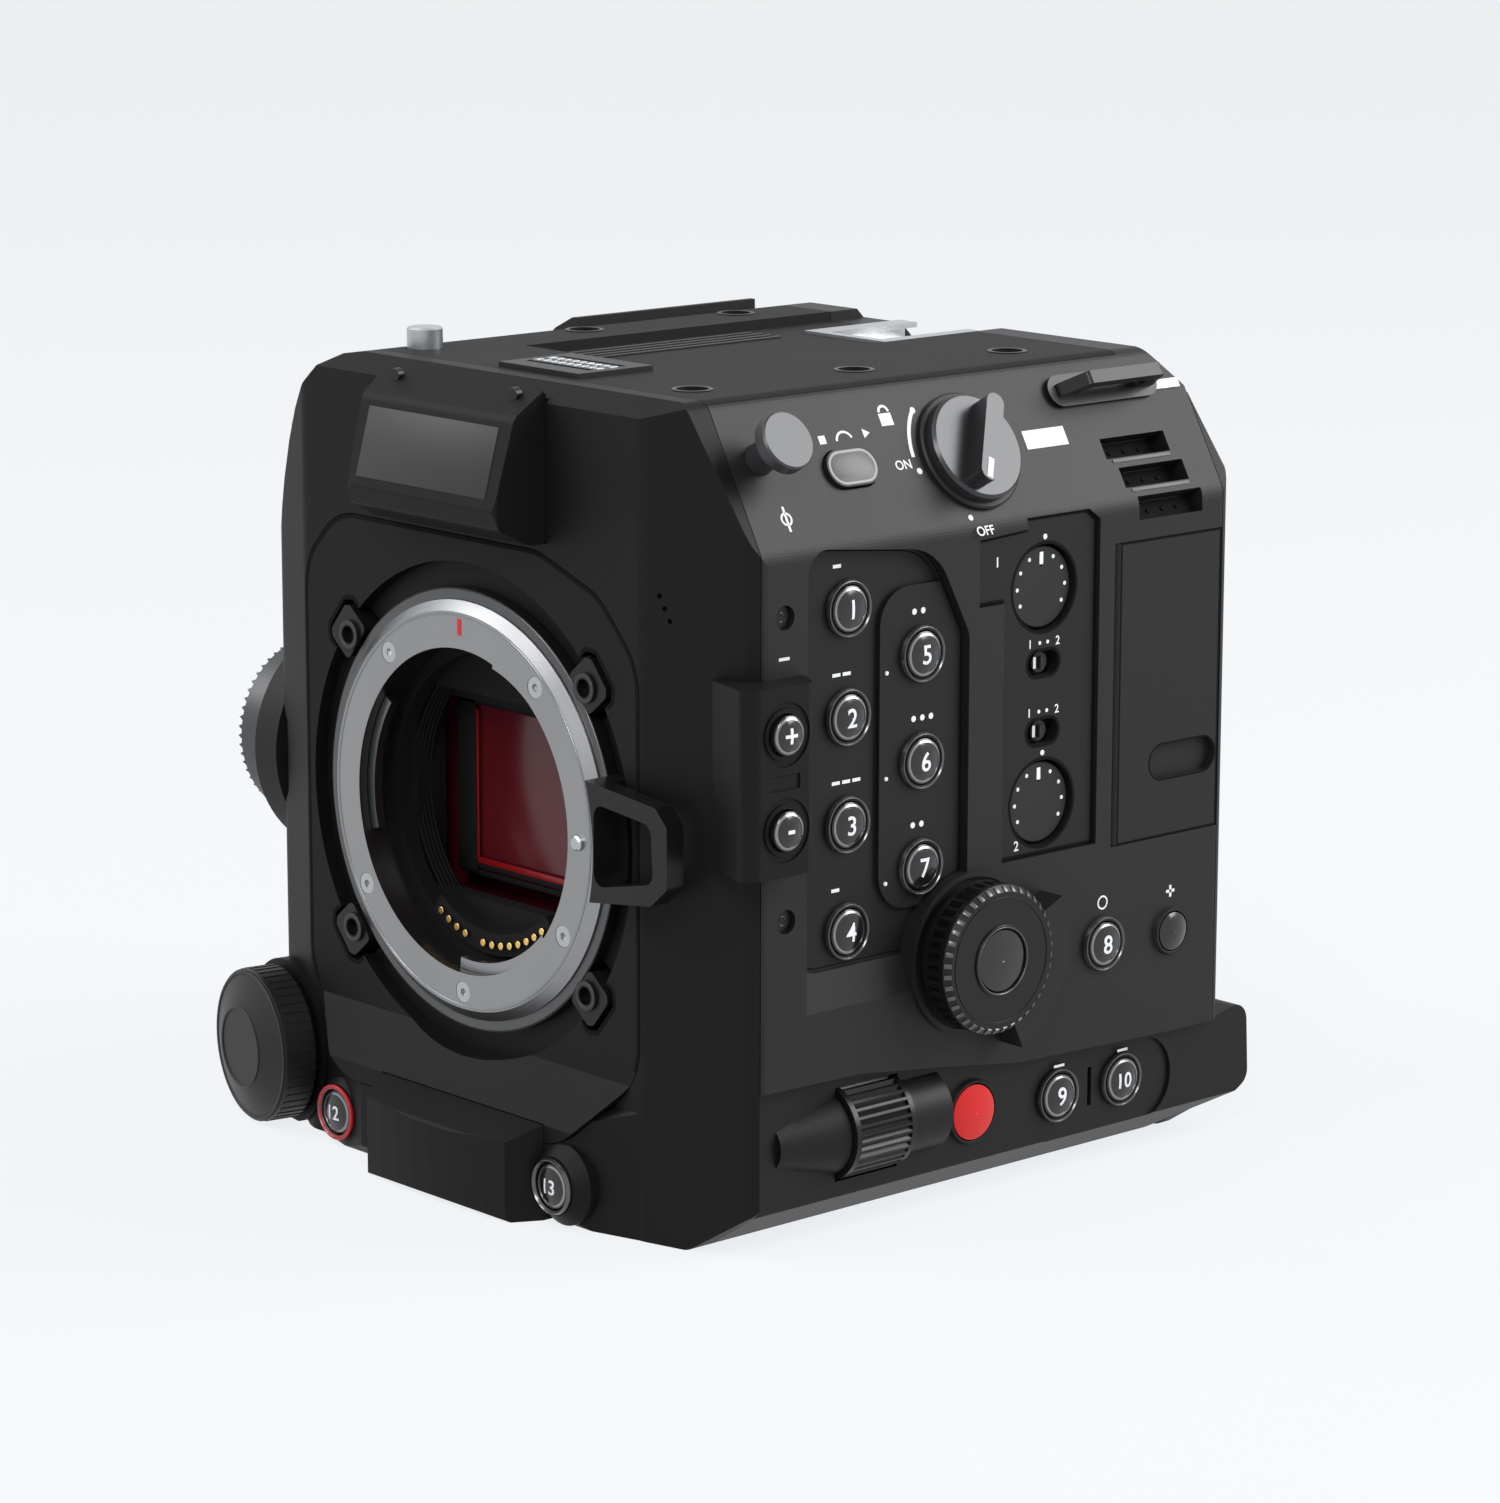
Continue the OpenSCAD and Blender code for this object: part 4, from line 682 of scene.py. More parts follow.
FRONT = MOULDED("front casing", (0.0046, 0.0046, 0.0048), rough=0.50, specular=0.13)
SIDE = MOULDED("side casing", (0.0098, 0.0099, 0.0102), rough=0.48, specular=0.23)
TOP = MOULDED("top casing", (0.0082, 0.0083, 0.0086), rough=0.66, specular=0.16)
DARK = MOULDED("dark casing", (0.0082, 0.0083, 0.0086), rough=0.55, specular=0.22)
RAIL = MOULDED("rail casing", (0.0058, 0.0059, 0.0061), rough=0.46, specular=0.20)
PANEL = SMOOTH("dark panel", (0.0070, 0.0071, 0.0075), rough=0.45, specular=0.20)
# Painted light: the hood plate is lighter for the light falling on its up-facing slope.
PAINTED_LIGHT_PLATE = SATIN("bare plate", (0.0190, 0.0192, 0.0200), rough=0.40, specular=0.35)
PLASTIC = SMOOTH("black plastic", (0.0085, 0.0086, 0.0090), rough=0.44, specular=0.30)
MODE = SATIN("mode button", (0.050, 0.0505, 0.0515), rough=0.36, specular=0.4)
# Painted highlight: the louvre lips are a lighter grey for the light that catches their edges.
LOUVRE_HIGHLIGHT = SATIN("louvre lip", (0.052, 0.0525, 0.0535), rough=0.42, specular=0.4)
BOARD = Finish("board", (0.02, 0.08, 0.035), rough=0.5)
STEEL = TURNED("turned steel", (0.30, 0.302, 0.306), rough=0.34, metallic=1.0, scale=5200.0,
               depth=0.000008, tint=0.16, rough_spread=0.14, bore=0.031)
COLLAR = TURNED("satin collar", (0.105, 0.106, 0.108), rough=0.34, metallic=0.9, scale=4200.0,
                depth=0.000006, tint=0.14)
BRIGHT = BRUSHED("bright steel", (0.46, 0.47, 0.48), rough=0.30, metallic=1.0, scale=900.0,
                 depth=0.000006, tint=0.10)
TEETH = BRUSHED("rosette metal", (0.085, 0.087, 0.090), rough=0.38, metallic=0.9, scale=900.0,
                depth=0.000006, tint=0.10)
SINK = BRUSHED("machined alloy", (0.5, 0.51, 0.52), rough=0.4, metallic=1.0, scale=700.0)
BLACK = SMOOTH("black metal", (0.0052, 0.0053, 0.0055), rough=0.33, specular=0.26)
INNER = Finish("inner black", (0.0045, 0.0045, 0.0048), rough=0.7, specular=0.15, scale=1200.0,
               depth=0.00003)
DIALMETAL = CAST("dial metal", (0.040, 0.041, 0.043), rough=0.30, metallic=0.6)
HOOK = CAST("hook metal", (0.046, 0.047, 0.049), rough=0.36, metallic=0.5)
EDGE = PLAIN("polished edge", (0.26, 0.262, 0.266), rough=0.22, metallic=1.0)
RIM = PLAIN("button rim", (0.115, 0.117, 0.120), rough=0.24, metallic=0.85)
GOLD = PLAIN("gold pins", (0.80, 0.52, 0.16), rough=0.28, metallic=1.0)
GLASS = PLAIN("filter glass", (0.078, 0.006, 0.010), rough=0.14, coat=0.30, specular=0.2)
# Painted highlight: a brighter red along the left and lower edges of the filter glass.
FILTER_HIGHLIGHT = PLAIN("filter edge", (0.20, 0.006, 0.008), rough=0.25, specular=0.3)
BUTTON = PLAIN("gloss button", (0.0065, 0.0065, 0.0070), rough=0.16, coat=0.35, specular=0.4)
REDBUTTON = PLAIN("red button", (0.50, 0.012, 0.012), rough=0.30, coat=0.15, specular=0.2)
LAMP = PLAIN("lamp", (0.55, 0.57, 0.59), rough=0.3, coat=0.4)
WHITE = PLAIN("white legend", (0.66, 0.67, 0.68), rough=0.5, specular=0.2, tint=0.03)
GREY = PLAIN("grey legend", (0.30, 0.305, 0.31), rough=0.5, specular=0.2, tint=0.03)
RED = PLAIN("red legend", (0.52, 0.012, 0.018), rough=0.4, specular=0.3, tint=0.05)
# Painted shade: a near-black finish for gaps, slots and holes, standing for the shade inside
# them.
PAINTED_SHADE = PLAIN("dark hole", (0.0025, 0.0025, 0.003), rough=0.8, specular=0.1)


class Casings:
    """The CAD nodes, each of which keeps its shape and gets a finish."""

    def build(self) -> None:
        """Gives every CAD node its finish."""
        names = set(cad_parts)
        numbered = {n for n in names if n.startswith("button_")} - {"button_panel"}
        plan = {
            FRONT: ["front_cover", "mount_panel", "chin", "nd_block"],
            SIDE: ["control_cover", "mode_button"],
            TOP: ["top_plate"],
            DARK: ["left_cover", "base_plate", "rear_cover", "battery", "media_door"],
            RAIL: ["lower_rail"],
            PANEL: ["button_panel", "level_panel"],
            STEEL: ["mount_ring"],
            BRIGHT: ["lock_pin", "accessory_shoe", "fasteners"],
            TEETH: ["rosette"],
            HOOK: ["tape_hook"],
            BLACK: ["lock_ring", "mount_lugs", "strap_loop", "drum_wheel", "select_dial"],
            INNER: ["chassis", "nd_filter", "contact_block"],
            GLASS: ["sensor_unit"],
            BOARD: ["main_board"],
            SINK: ["fan_frame", "card_cage"],
            PLASTIC: ["fan_rotor", "terminal_cap", "rear_terminals", "top_terminal",
                      "level_knob_1", "level_knob_2", "level_switch_1", "level_switch_2"],
            BUTTON: sorted(numbered) + ["nd_plus", "nd_minus", "status_button", "select_push"],
            REDBUTTON: ["record_button"],
            DIALMETAL: ["power_dial"],
            LAMP: ["tally_lamps"],
        }
        painted = set()
        for finish, nodes in plan.items():
            painted.update(nodes)
            for name in nodes:
                dress(name, finish)
        for name in sorted(names - painted):
            LOG.warning("node %s has no finish", name)
            dress(name, DARK)


@dataclass(frozen=True)
class Button:
    """A domed button and the figure on it."""

    node: str
    face: Face
    figure: str
    radius: float = 3.65
    rise: float = 0.7
    crown: float = 1.5
    size: float = 4.3

    def ball(self) -> float:
        """Returns the sphere radius of the dome."""
        return (self.radius ** 2 + self.rise ** 2) / (2 * self.rise)

    def height(self, back: float) -> float:
        """Returns the dome's height at a distance in from its edge."""
        return self.crown - (self.radius - back) ** 2 / (2 * self.ball())


@dataclass
class Buttons:
    """The figures, edge rings and rims of the domed buttons."""

    plate_x: float = 61.8
    raised_x: float = 62.6
    strip_x: float = 61.4
    strip_z: float = -49.0
    nd_x: float = 69.4
    nd_y: float = 8.0
    ring_in: float = 0.62
    ring_out: float = 0.20
    slope: float = 0.04
    stand: float = 0.06
    rim: tuple[Pair, ...] = (
        (0.30, 0.40), (0.34, 0.62), (0.66, 0.98), (0.80, 0.94), (0.98, 0.40))

    def _items(self) -> list[Button]:
        """Lists the buttons.

        Returns:
            The buttons in order.
        """
        (y_1, y_5), (z_1, z_5) = BUTTON_YS, BUTTON_ZS
        items = [Button(f"button_{i + 1}", Face.side(y_1, z_1 - i * PITCH, self.plate_x),
                        str(i + 1)) for i in range(4)]
        items += [Button(f"button_{i + 5}", Face.side(y_5, z_5 - i * PITCH, self.raised_x),
                         str(i + 5)) for i in range(3)]
        y_9, y_10 = STRIP_YS
        return items + [
            Button("button_8", Face.side(83.8, -23.9), "8"),
            Button("button_9", Face.side(y_9, self.strip_z, self.strip_x), "9"),
            Button("button_10", Face.side(y_10, self.strip_z, self.strip_x), "10", size=3.6),
            Button("button_12", Face.front(*RED_RING_AT, -1.9), "12", crown=1.0, size=3.4),
            Button("button_13", Face.front(28.2, -56.0, -4.4), "13", crown=1.0, size=3.4),
            Button("nd_plus", Face.side(self.nd_y, 22.6, self.nd_x), "+", 3.1, size=5.0),
            Button("nd_minus", Face.side(self.nd_y, 7.6, self.nd_x), "-", 3.1, size=5.0),
        ]

    def build(self) -> None:
        """Adds the figures and rings on the buttons, and the rims round them."""
        items = self._items()
        for item in items:
            figure = Shape().words(item.figure, item.size, item.face, LIFT, THICK_INK,
                                   (item.ball(), item.crown))
            add_piece(f"figure_{item.node}", figure, item.node, WHITE)
            low, high = item.height(self.ring_in), item.height(self.ring_out)
            inner, outer = item.radius - self.ring_in, item.radius - self.ring_out
            profile = [(inner, low - self.slope), (inner + self.slope, low + self.stand),
                       (outer - self.slope, high + self.stand), (outer, high - self.slope)]
            edge = Shape().lathe(profile, spot=item.face, closed=True)
            add_piece(f"edge_{item.node}", edge, item.node, EDGE)
        rims = Shape()
        for item in items:
            if item.node.startswith("button_"):
                profile = [(item.radius + out, up) for out, up in self.rim]
                rims.lathe(profile, spot=item.face, closed=True)
        add_piece("button_rims", rims, "body", RIM)


@dataclass
class Legends:
    """Plain marks printed on the casings."""

    level_x: float = 63.2
    knob_rise: float = 8.3
    switch_rise: float = 3.4
    switch_ends: tuple[tuple[str, float], ...] = (("1", 66.9), ("2", 73.2))
    level_ends: tuple[tuple[str, float, float], ...] = (("1", 59.3, 42.6), ("2", 64.3, -4.6))
    shoulder_lift: float = 0.02
    dial_arc: Pair = (11.4, 12.1)
    dial_turn: Pair = (136.0, 178.0)
    dial_stops: tuple[Pair, ...] = ((136.0, 0.55), (190.0, 0.55), (248.0, 0.5))
    dial_r: float = 11.7
    letter: float = 2.2
    plate_x: float = 61.82
    raised_x: float = 62.62
    side_x: float = 64.01
    strip_x: float = 62.02
    mark_rise: float = 6.9
    cross_at: Pair = (100.0, -17.6)

    def build(self) -> None:
        """Adds the marks of the side, the shoulder and the front."""
        white = Shape()
        self._level(white)
        self._power(white)
        self._side(white)
        white.dash(9.4, 3.2, self._on_shoulder(POWER_Y).matrix(17.8, 0.6))
        mode = Face.shoulder(MODE_Y, SHOULDER_ROW, 0.8)
        outline = Shape().capsule(9.9, 5.7, 0.0, INK, 0.0, mode)
        add_piece("mode_outline", outline, "mode_button", GREY)
        pad = Shape().capsule(9.0, 4.8, 0.0, 0.09, 0.03, mode)
        add_piece("mode_pad", pad, "mode_button", MODE)
        add_piece("white_marks", white, "body", WHITE)
        red = Shape()
        red.ring(4.05, 4.75, 0.0, 0.45, 0.12, Face.front(*RED_RING_AT, -2.35))
        red.bar(0.95, 2.7, 0.0, 0.08, 0.02, Face.front(0.0, 30.6, 0.0))
        add_piece("red_marks", red, "body", RED)

    def _on_shoulder(self, y: float, d: float = SHOULDER_ROW) -> Face:
        """Returns a face on the shoulder for print."""
        return Face.shoulder(y, d, self.shoulder_lift)

    def _level(self, shape: Shape) -> None:
        """Adds the marks of the level panel.

        Args:
            shape: The white marks.
        """
        for z in KNOB_ZS:
            over = Face.side(LEVEL_Y, z + self.knob_rise, self.level_x)
            shape.dot(0.45, 0.08, 0.02, over)
        for z in SWITCH_ZS:
            up = z + self.switch_rise
            for side in (-0.9, 0.9):
                spot = Face.side(LEVEL_Y + side, up, self.level_x)
                shape.dot(0.32, INK, 0.01, spot, 12)
            for figure, y in self.switch_ends:
                shape.words(figure, 2.0, Face.side(y, up, self.level_x))
        for figure, y, z in self.level_ends:
            shape.words(figure, 2.3, Face.side(y, z, self.level_x))

    def _power(self, shape: Shape) -> None:
        """Adds the marks of the shoulder.

        Args:
            shape: The white marks.
        """
        dial = self._on_shoulder(POWER_Y)
        shape.band(self.dial_arc, self.dial_turn, INK, dial)
        for degrees, radius in self.dial_stops:
            shape.dot(radius, THICK_INK, 0.02, dial.polar(self.dial_r, degrees))
        shape.words("OFF", self.letter, dial.matrix(-2.2, -13.3))
        lock = dial.matrix(-14.6, 7.2)
        shape.dash(2.6, 2.1, lock)
        shape.band((0.75, 1.2), (0.0, 180.0), INK, lock @ shift(0.0, 1.3), 12)
        shape.words("ON", self.letter, dial.matrix(-14.4, -0.6))
        plane = self._on_shoulder(15.6, 20.6)
        shape.ring(0.8, 1.15, 0.0, INK, 0.01, plane, 24)
        shape.dash(0.45, 4.2, plane)
        mode = self._on_shoulder(MODE_Y)
        shape.band((1.5, 1.9), (20.0, 170.0), INK, mode.matrix(1.0, 4.4), 14)
        shape.dash(1.4, 1.4, mode.matrix(-3.6, 5.2))
        shape.prism([(0.0, -0.8), (1.4, 0.0), (0.0, 0.8)], 0.0, INK, 0.0, mode.matrix(5.2, 5.4))

    def _side(self, shape: Shape) -> None:
        """Adds the marks over the buttons of the side.

        Args:
            shape: The white marks.
        """
        for i in range(4):
            z = BUTTON_ZS[0] - i * PITCH + self.mark_rise
            face = Face.side(BUTTON_YS[0], z, self.plate_x)
            for k in range(i % 3 + 1):
                shape.dash(1.7, 0.55, face.matrix(2.2 * k - 2.2), THIN_INK)
        for i in range(3):
            z = BUTTON_ZS[1] - i * PITCH + self.mark_rise
            face = Face.side(43.4, z, self.raised_x)
            for k in range(2 + i % 2):
                shape.dot(0.5, THIN_INK, 0.01, face.matrix(1.9 * k - 1.8))
        for z in (27.0, 10.0, -7.0):
            shape.dot(0.35, 0.3, 0.1, Face.side(35.6, z + 0.6, self.raised_x), 12)
        shape.dash(2.2, 0.5, Face.side(12.6, 33.0, self.side_x), THIN_INK)
        circle = Face.side(83.8, -17.0, self.side_x)
        shape.ring(0.9, 1.2, 0.0, THIN_INK, 0.01, circle, 20)
        cross = Face.side(*self.cross_at, self.side_x)
        shape.dash(2.0, 0.5, cross, THIN_INK)
        shape.dash(0.5, 2.0, cross, THIN_INK)
        for y in STRIP_YS:
            shape.dash(2.4, 0.45, Face.side(y, -43.9, self.strip_x), THIN_INK)


@dataclass
class Dials:
    """Marks and grips of the knobs, switches and dials."""

    knob_x: float = 62.4
    knob_dots: int = 9
    knob_turn: Pair = (210.0, 30.0)
    knob_r: float = 5.4
    switch_at: Pair = (68.9, 62.25)
    power_top: Pair = (6.62, 6.70)
    power_turn: float = 60.0
    power_r: float = 5.9
    select_at: Triple = (53.0, -20.2, 71.6)
    teeth: int = 40
    teeth_r: float = 11.62
    teeth_tilt: float = 45.0

    def build(self) -> None:
        """Adds the marks, then the teeth and rings of the select dial."""
        self._levels()
        grip = Face.shoulder(POWER_Y, SHOULDER_ROW).matrix(turn=self.power_turn)
        end = grip @ shift(-self.power_r) @ Matrix.Rotation(math.pi / 2, 4, "Z")
        mark = Shape().bar(1.1, 3.6, *self.power_top, 0.0, end)
        add_piece("power_mark", mark, "power_dial", WHITE)
        self._select()

    def _levels(self) -> None:
        """Adds the marks of the level knobs and switches."""
        start, step = self.knob_turn
        for i, z in enumerate(KNOB_ZS):
            face = Face.side(LEVEL_Y, z, self.knob_x)
            shape = Shape()
            for k in range(self.knob_dots):
                shape.dot(0.34, INK, 0.01, face.polar(self.knob_r, start - step * k), 12)
            shape.dash(0.8, 2.0, face.matrix(0.0, 4.7), THICK_INK)
            add_piece(f"knob_marks_{i + 1}", shape, f"level_knob_{i + 1}", WHITE)
        y, x = self.switch_at
        for i, z in enumerate(SWITCH_ZS):
            shape = Shape().dash(0.6, 1.9, Face.side(y, z, x))
            add_piece(f"switch_mark_{i + 1}", shape, f"level_switch_{i + 1}", WHITE)

    def _select(self) -> None:
        """Adds the rings and the teeth of the select dial."""
        face = Face.side(*self.select_at)
        rings = Shape().ring(10.1, 10.45, 0.0, 0.12, 0.04, face)
        rings.ring(5.4, 5.9, 0.0, 0.35, 0.12, face)
        add_piece("dial_rings", rings, "select_dial", BLACK)
        teeth = Shape()
        tilt = Matrix.Rotation(math.radians(self.teeth_tilt), 4, "Y")
        for k in range(self.teeth):
            spot = face.matrix(turn=360.0 * (k + 0.5) / self.teeth)
            teeth.bar(1.25, 0.8, -0.2, 0.2, 0.12, spot @ shift(self.teeth_r, 0.0, -0.42) @ tilt)
        add_piece("dial_teeth", teeth, "select_dial", COLLAR)
        edge = Shape().ring(5.35, 5.62, 0.0, 0.40, 0.1, face)
        add_piece("dial_edge", edge, "select_dial", COLLAR)


@dataclass
class Screws:
    """Dark screws of the side and small knobs above the hood."""

    side_x: float = 63.02
    side_at: tuple[Pair, ...] = ((12.8, 39.4), (13.2, -8.7))
    head_r: float = 1.9
    socket_r: float = 0.75
    brow_x: float = 15.0
    brow_at: Pair = (70.0, -0.9)

    def build(self) -> None:
        """Adds the screws."""
        shape = Shape()
        for y, z in self.side_at:
            spot = Face.side(y, z, self.side_x)
            shape.ring(self.socket_r, self.head_r, 0.0, 0.1, 0.05, spot, 32)
            shape.dot(self.socket_r, 0.03, 0.01, spot, 6)
        for x in (-self.brow_x, self.brow_x):
            spot = Face.front(x, *self.brow_at)
            shape.ring(0.0, 1.2, -1.2, 0.0, 0.1, spot, 24)
        add_piece("dark_screws", shape, "body", BLACK)


@dataclass
class Hood:
    """The plate on the hood over the mount, painted lighter for the light on its up-facing
    slope, and a painted shade line in the seam beside it.
    """

    lip: Pair = (-8.0, 52.4)
    brow: Pair = (-4.0, 67.0)
    plate: Pair = (33.0, 11.6)
    shade_line_at: Pair = (20.3, 58.8)

    def build(self) -> None:
        """Adds the lighter-painted plate and the painted shade line of the seam."""
        (y_low, z_low), (y_high, z_high) = self.lip, self.brow
        slope = Vector((0.0, y_high - y_low, z_high - z_low)).normalized()
        face = Face(place(0.0, (y_low + y_high) / 2, (z_low + z_high) / 2),
                    Vector((1, 0, 0)), slope)
        # The plate is painted lighter, for the light that falls on its up-facing slope.
        shape = Shape().bar(*self.plate, 0.0, 0.12, 0.08, face.matrix(-0.3))
        add_piece("hood_plate_painted_lighter", shape, "body", PAINTED_LIGHT_PLATE)
        # The seam is a near-black strip of painted shade.
        shade_seam = Shape().dash(0.5, 23.5, Face.front(*self.shade_line_at))
        add_piece("hood_shade_line", shade_seam, "body", PAINTED_SHADE)


@dataclass
class Cap:
    """Rings and knurls of the round terminal cap."""

    turn: float = 10.0
    middle: Triple = (-53.4, -6.2, -49.3)
    knurls: int = 48
    knurl_at: Triple = (13.15, 0.0, -5.3)
    knurl_half: float = 2.4

    def build(self) -> None:
        """Adds the rings and the knurls."""
        turn = math.radians(self.turn)
        right = Vector((math.cos(turn), -math.sin(turn), 0.0))
        face = Face(place(*self.middle), right, Vector((0, 0, 1)))
        shape = Shape().ring(12.3, 12.9, -2.25, -1.75, 0.1, face)
        shape.ring(6.6, 7.1, -0.25, 0.18, 0.1, face)
        for k in range(self.knurls):
            spot = face.matrix(turn=360.0 * k / self.knurls) @ shift(*self.knurl_at)
            shape.bar(0.35, 0.7, -self.knurl_half, self.knurl_half, 0.0, spot)
        add_piece("cap_rings", shape, "terminal_cap", PLASTIC)


@dataclass
class Throat:
    """Ribs, contact tips and sensor frame, which show through the mount.

    The mask and the filter edges are bars, given by width, height, x and z; the edges' brighter
    red is a painted highlight.
    """

    ribs: int = 5
    rib_y: float = 10.2
    rib_step: float = 0.6
    rib_inner: float = 24.6
    rib_taper: float = 0.25
    rib_outer: float = 25.2
    tip_r: float = 0.62
    tip_y: float = 5.3
    tip_circle: float = 23.0
    tip_step: float = 5.75
    tip_rows: tuple[tuple[float, int], ...] = ((-122.0, 4), (-93.0, 8))
    frames: tuple[Triple, ...] = ((43.4, 31.4, 17.5), (41.6, 28.6, 17.2))
    bead: float = 0.9
    mask_y: float = 16.9
    mask: tuple[Quad, ...] = (
        (4.6, 31.0, -19.0, 0.0), (43.0, 2.4, 0.0, 14.4))
    edges: tuple[Quad, ...] = (
        (0.45, 25.6, -16.4, -0.4), (35.0, 1.0, 1.0, -13.4))

    def build(self) -> None:
        """Adds the ribs, the tips, the frame and the painted highlights on the filter edges."""
        ribs = Shape()
        for k in range(self.ribs):
            spot = Face.front(0, 0, self.rib_y + self.rib_step * k)
            ribs.ring(self.rib_inner - self.rib_taper * k, self.rib_outer, 0.0, 0.25, 0.05, spot,
                      96)
        add_piece("throat_ribs", ribs, "body", INNER)
        tips = Shape()
        for start, count in self.tip_rows:
            for k in range(count):
                spot = Face.front(0.0, 0.0, self.tip_y).matrix(turn=start + self.tip_step * k)
                tips.ring(0.0, self.tip_r, -0.1, 0.1, 0.05, spot @ shift(self.tip_circle), 16)
        add_piece("contact_tips", tips, "body", GOLD)
        self._sensor()

    def _sensor(self) -> None:
        """Adds the frame and the mask round the sensor, and the painted highlights on the filter
        edges.
        """
        rim = Shape()
        for w, h, y in self.frames:
            for side in (-1, 1):
                rim.bar(self.bead, h, 0.0, 0.4, 0.1, Face.front(side * w / 2, 0, y))
                rim.bar(w, self.bead, 0.0, 0.4, 0.1, Face.front(0, side * h / 2, y))
        for w, h, x, z in self.mask:
            rim.bar(w, h, 0.0, 0.3, 0.1, Face.front(x, z, self.mask_y))
        add_piece("sensor_frame", rim, "body", INNER)
        # The filter edges get a brighter red, a painted highlight on the glass.
        edges = Shape()
        for w, h, x, z in self.edges:
            edges.bar(w, h, 0.0, 0.2, 0.05, Face.front(x, z, self.mask_y))
        add_piece("filter_edge", edges, "body", FILTER_HIGHLIGHT)


@dataclass
class MountTrim:
    """Bright edges of the lock ring, the flange and the mount's lugs."""

    collar: Pair = (33.75, 36.4)
    collar_y: float = 1.8
    line: Pair = (32.35, 32.75)
    lug: Pair = (1.75, 2.35)
    lug_at: Pair = (30.3, 25.0)
    lug_y: float = 0.6

    def build(self) -> None:
        """Adds the collar, the line and the lug rings."""
        spot = Face.front(0, 0, self.collar_y)
        collar = Shape().ring(*self.collar, 0.0, 0.12, 0.08, spot, 128)
        add_piece("lock_collar", collar, "lock_ring", COLLAR)
        line = Shape().ring(*self.line, 0.0, 0.10, 0.04, Face.front(0, 0, 0.0), 192)
        add_piece("flange_line", line, "body", EDGE)
        lugs = Shape()
        x, z = self.lug_at
        for sx, sz in ((1, 1), (-1, 1), (-1, -1), (1, -1)):
            spot = Face.front(x * sx, z * sz, self.lug_y)
            lugs.ring(*self.lug, 0.0, THICK_INK, 0.03, spot, 32)
        add_piece("lug_rings", lugs, "body", DIALMETAL)


@dataclass
class Vents:
    """Painted shade on the floors of the air slots on the shoulder, and painted highlights on
    the lips between them.
    """

    slots: int = 3
    start: Pair = (87.2, 14.8)
    step: Pair = (1.9, 5.3)
    floor: Pair = (14.6, 3.3)
    shade_floor_at: Triple = (7.5, 1.8, -2.95)
    hole_r: float = 0.4
    holes: tuple[float, ...] = (-3.4, 0.0, 3.4)
    lip: Pair = (13.6, 0.6)
    lip_highlight_at: Triple = (7.9, 4.1, 0.01)

    def _slot(self, i: int, at: Triple) -> Face:
        """Gives a place in one of the slots.

        Args:
            i: Number of the slot.
            at: Shift to the rear, down the slope and out of it.

        Returns:
            The face there.
        """
        y, d, h = at
        return Face.shoulder(self.start[0] + i * self.step[0] + y,
                             self.start[1] + i * self.step[1] + d, h)

    def build(self) -> None:
        """Adds the painted shade floors and the painted highlight lips."""
        # The floors and their holes are near-black painted shade, for the shade inside the
        # slots.
        shade_floors = Shape()
        for i in range(self.slots):
            face = self._slot(i, self.shade_floor_at)
            shade_floors.dash(*self.floor, face)
            for u in self.holes:
                shade_floors.dot(self.hole_r, 0.3, 0.05, face.matrix(u), 12)
        add_piece("vent_painted_shade", shade_floors, "body", PAINTED_SHADE)
        # The lips are lighter grey, a painted highlight on their edges.
        lip_highlights = Shape()
        for i in range(self.slots - 1):
            lip_highlights.capsule(*self.lip, 0.0, 0.12, 0.05, self._slot(i, self.lip_highlight_at))
        add_piece("vent_lip_highlights", lip_highlights, "body", LOUVRE_HIGHLIGHT)


@dataclass
class TopTrim:
    """Pins of the top terminal, and ribs and hole rims of the top plate."""

    rows: Pair = (-1.4, 1.4)
    pins: int = 9
    margin: float = 5.0
    ribs: int = 4
    rib_at: Triple = (-14.0, 54.0, 70.4)
    rib_step: float = 2.4
    rim: Pair = (2.6, 3.3)
    rim_at: tuple[Pair, ...] = (
        (40.0, 49.5), (40.0, 84.0), (-27.0, 49.5), (-27.0, 84.0), (40.0, 15.0))

    def build(self) -> None:
        """Adds the pins, the ribs and the rims."""
        low, high = (Vector(corner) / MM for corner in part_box("top_terminal"))
        mid = (low + high) / 2
        pins = Shape()
        for row in self.rows:
            for k in range(self.pins):
                step = (high.x - low.x - self.margin) * (k / (self.pins - 1) - 0.5)
                spot = Vector((mid.x + step, mid.y + row, high.z)) * MM
                pins.bar(0.9, 1.5, 0.0, 0.12, 0.03, shift(*spot) @ Matrix.Scale(MM, 4))
        add_piece("top_pins", pins, "body", BRIGHT)
        shape = Shape()
        x, y, z = self.rib_at
        for k in range(self.ribs):
            shape.bar(44.0, 0.5, 0.0, 0.35, 0.1, Face.top(x + self.rib_step * k, y, z))
        for spot in self.rim_at:
            shape.ring(*self.rim, 0.0, 0.18, 0.08, Face.top(*spot), 40)
        add_piece("top_details", shape, "body", BLACK)


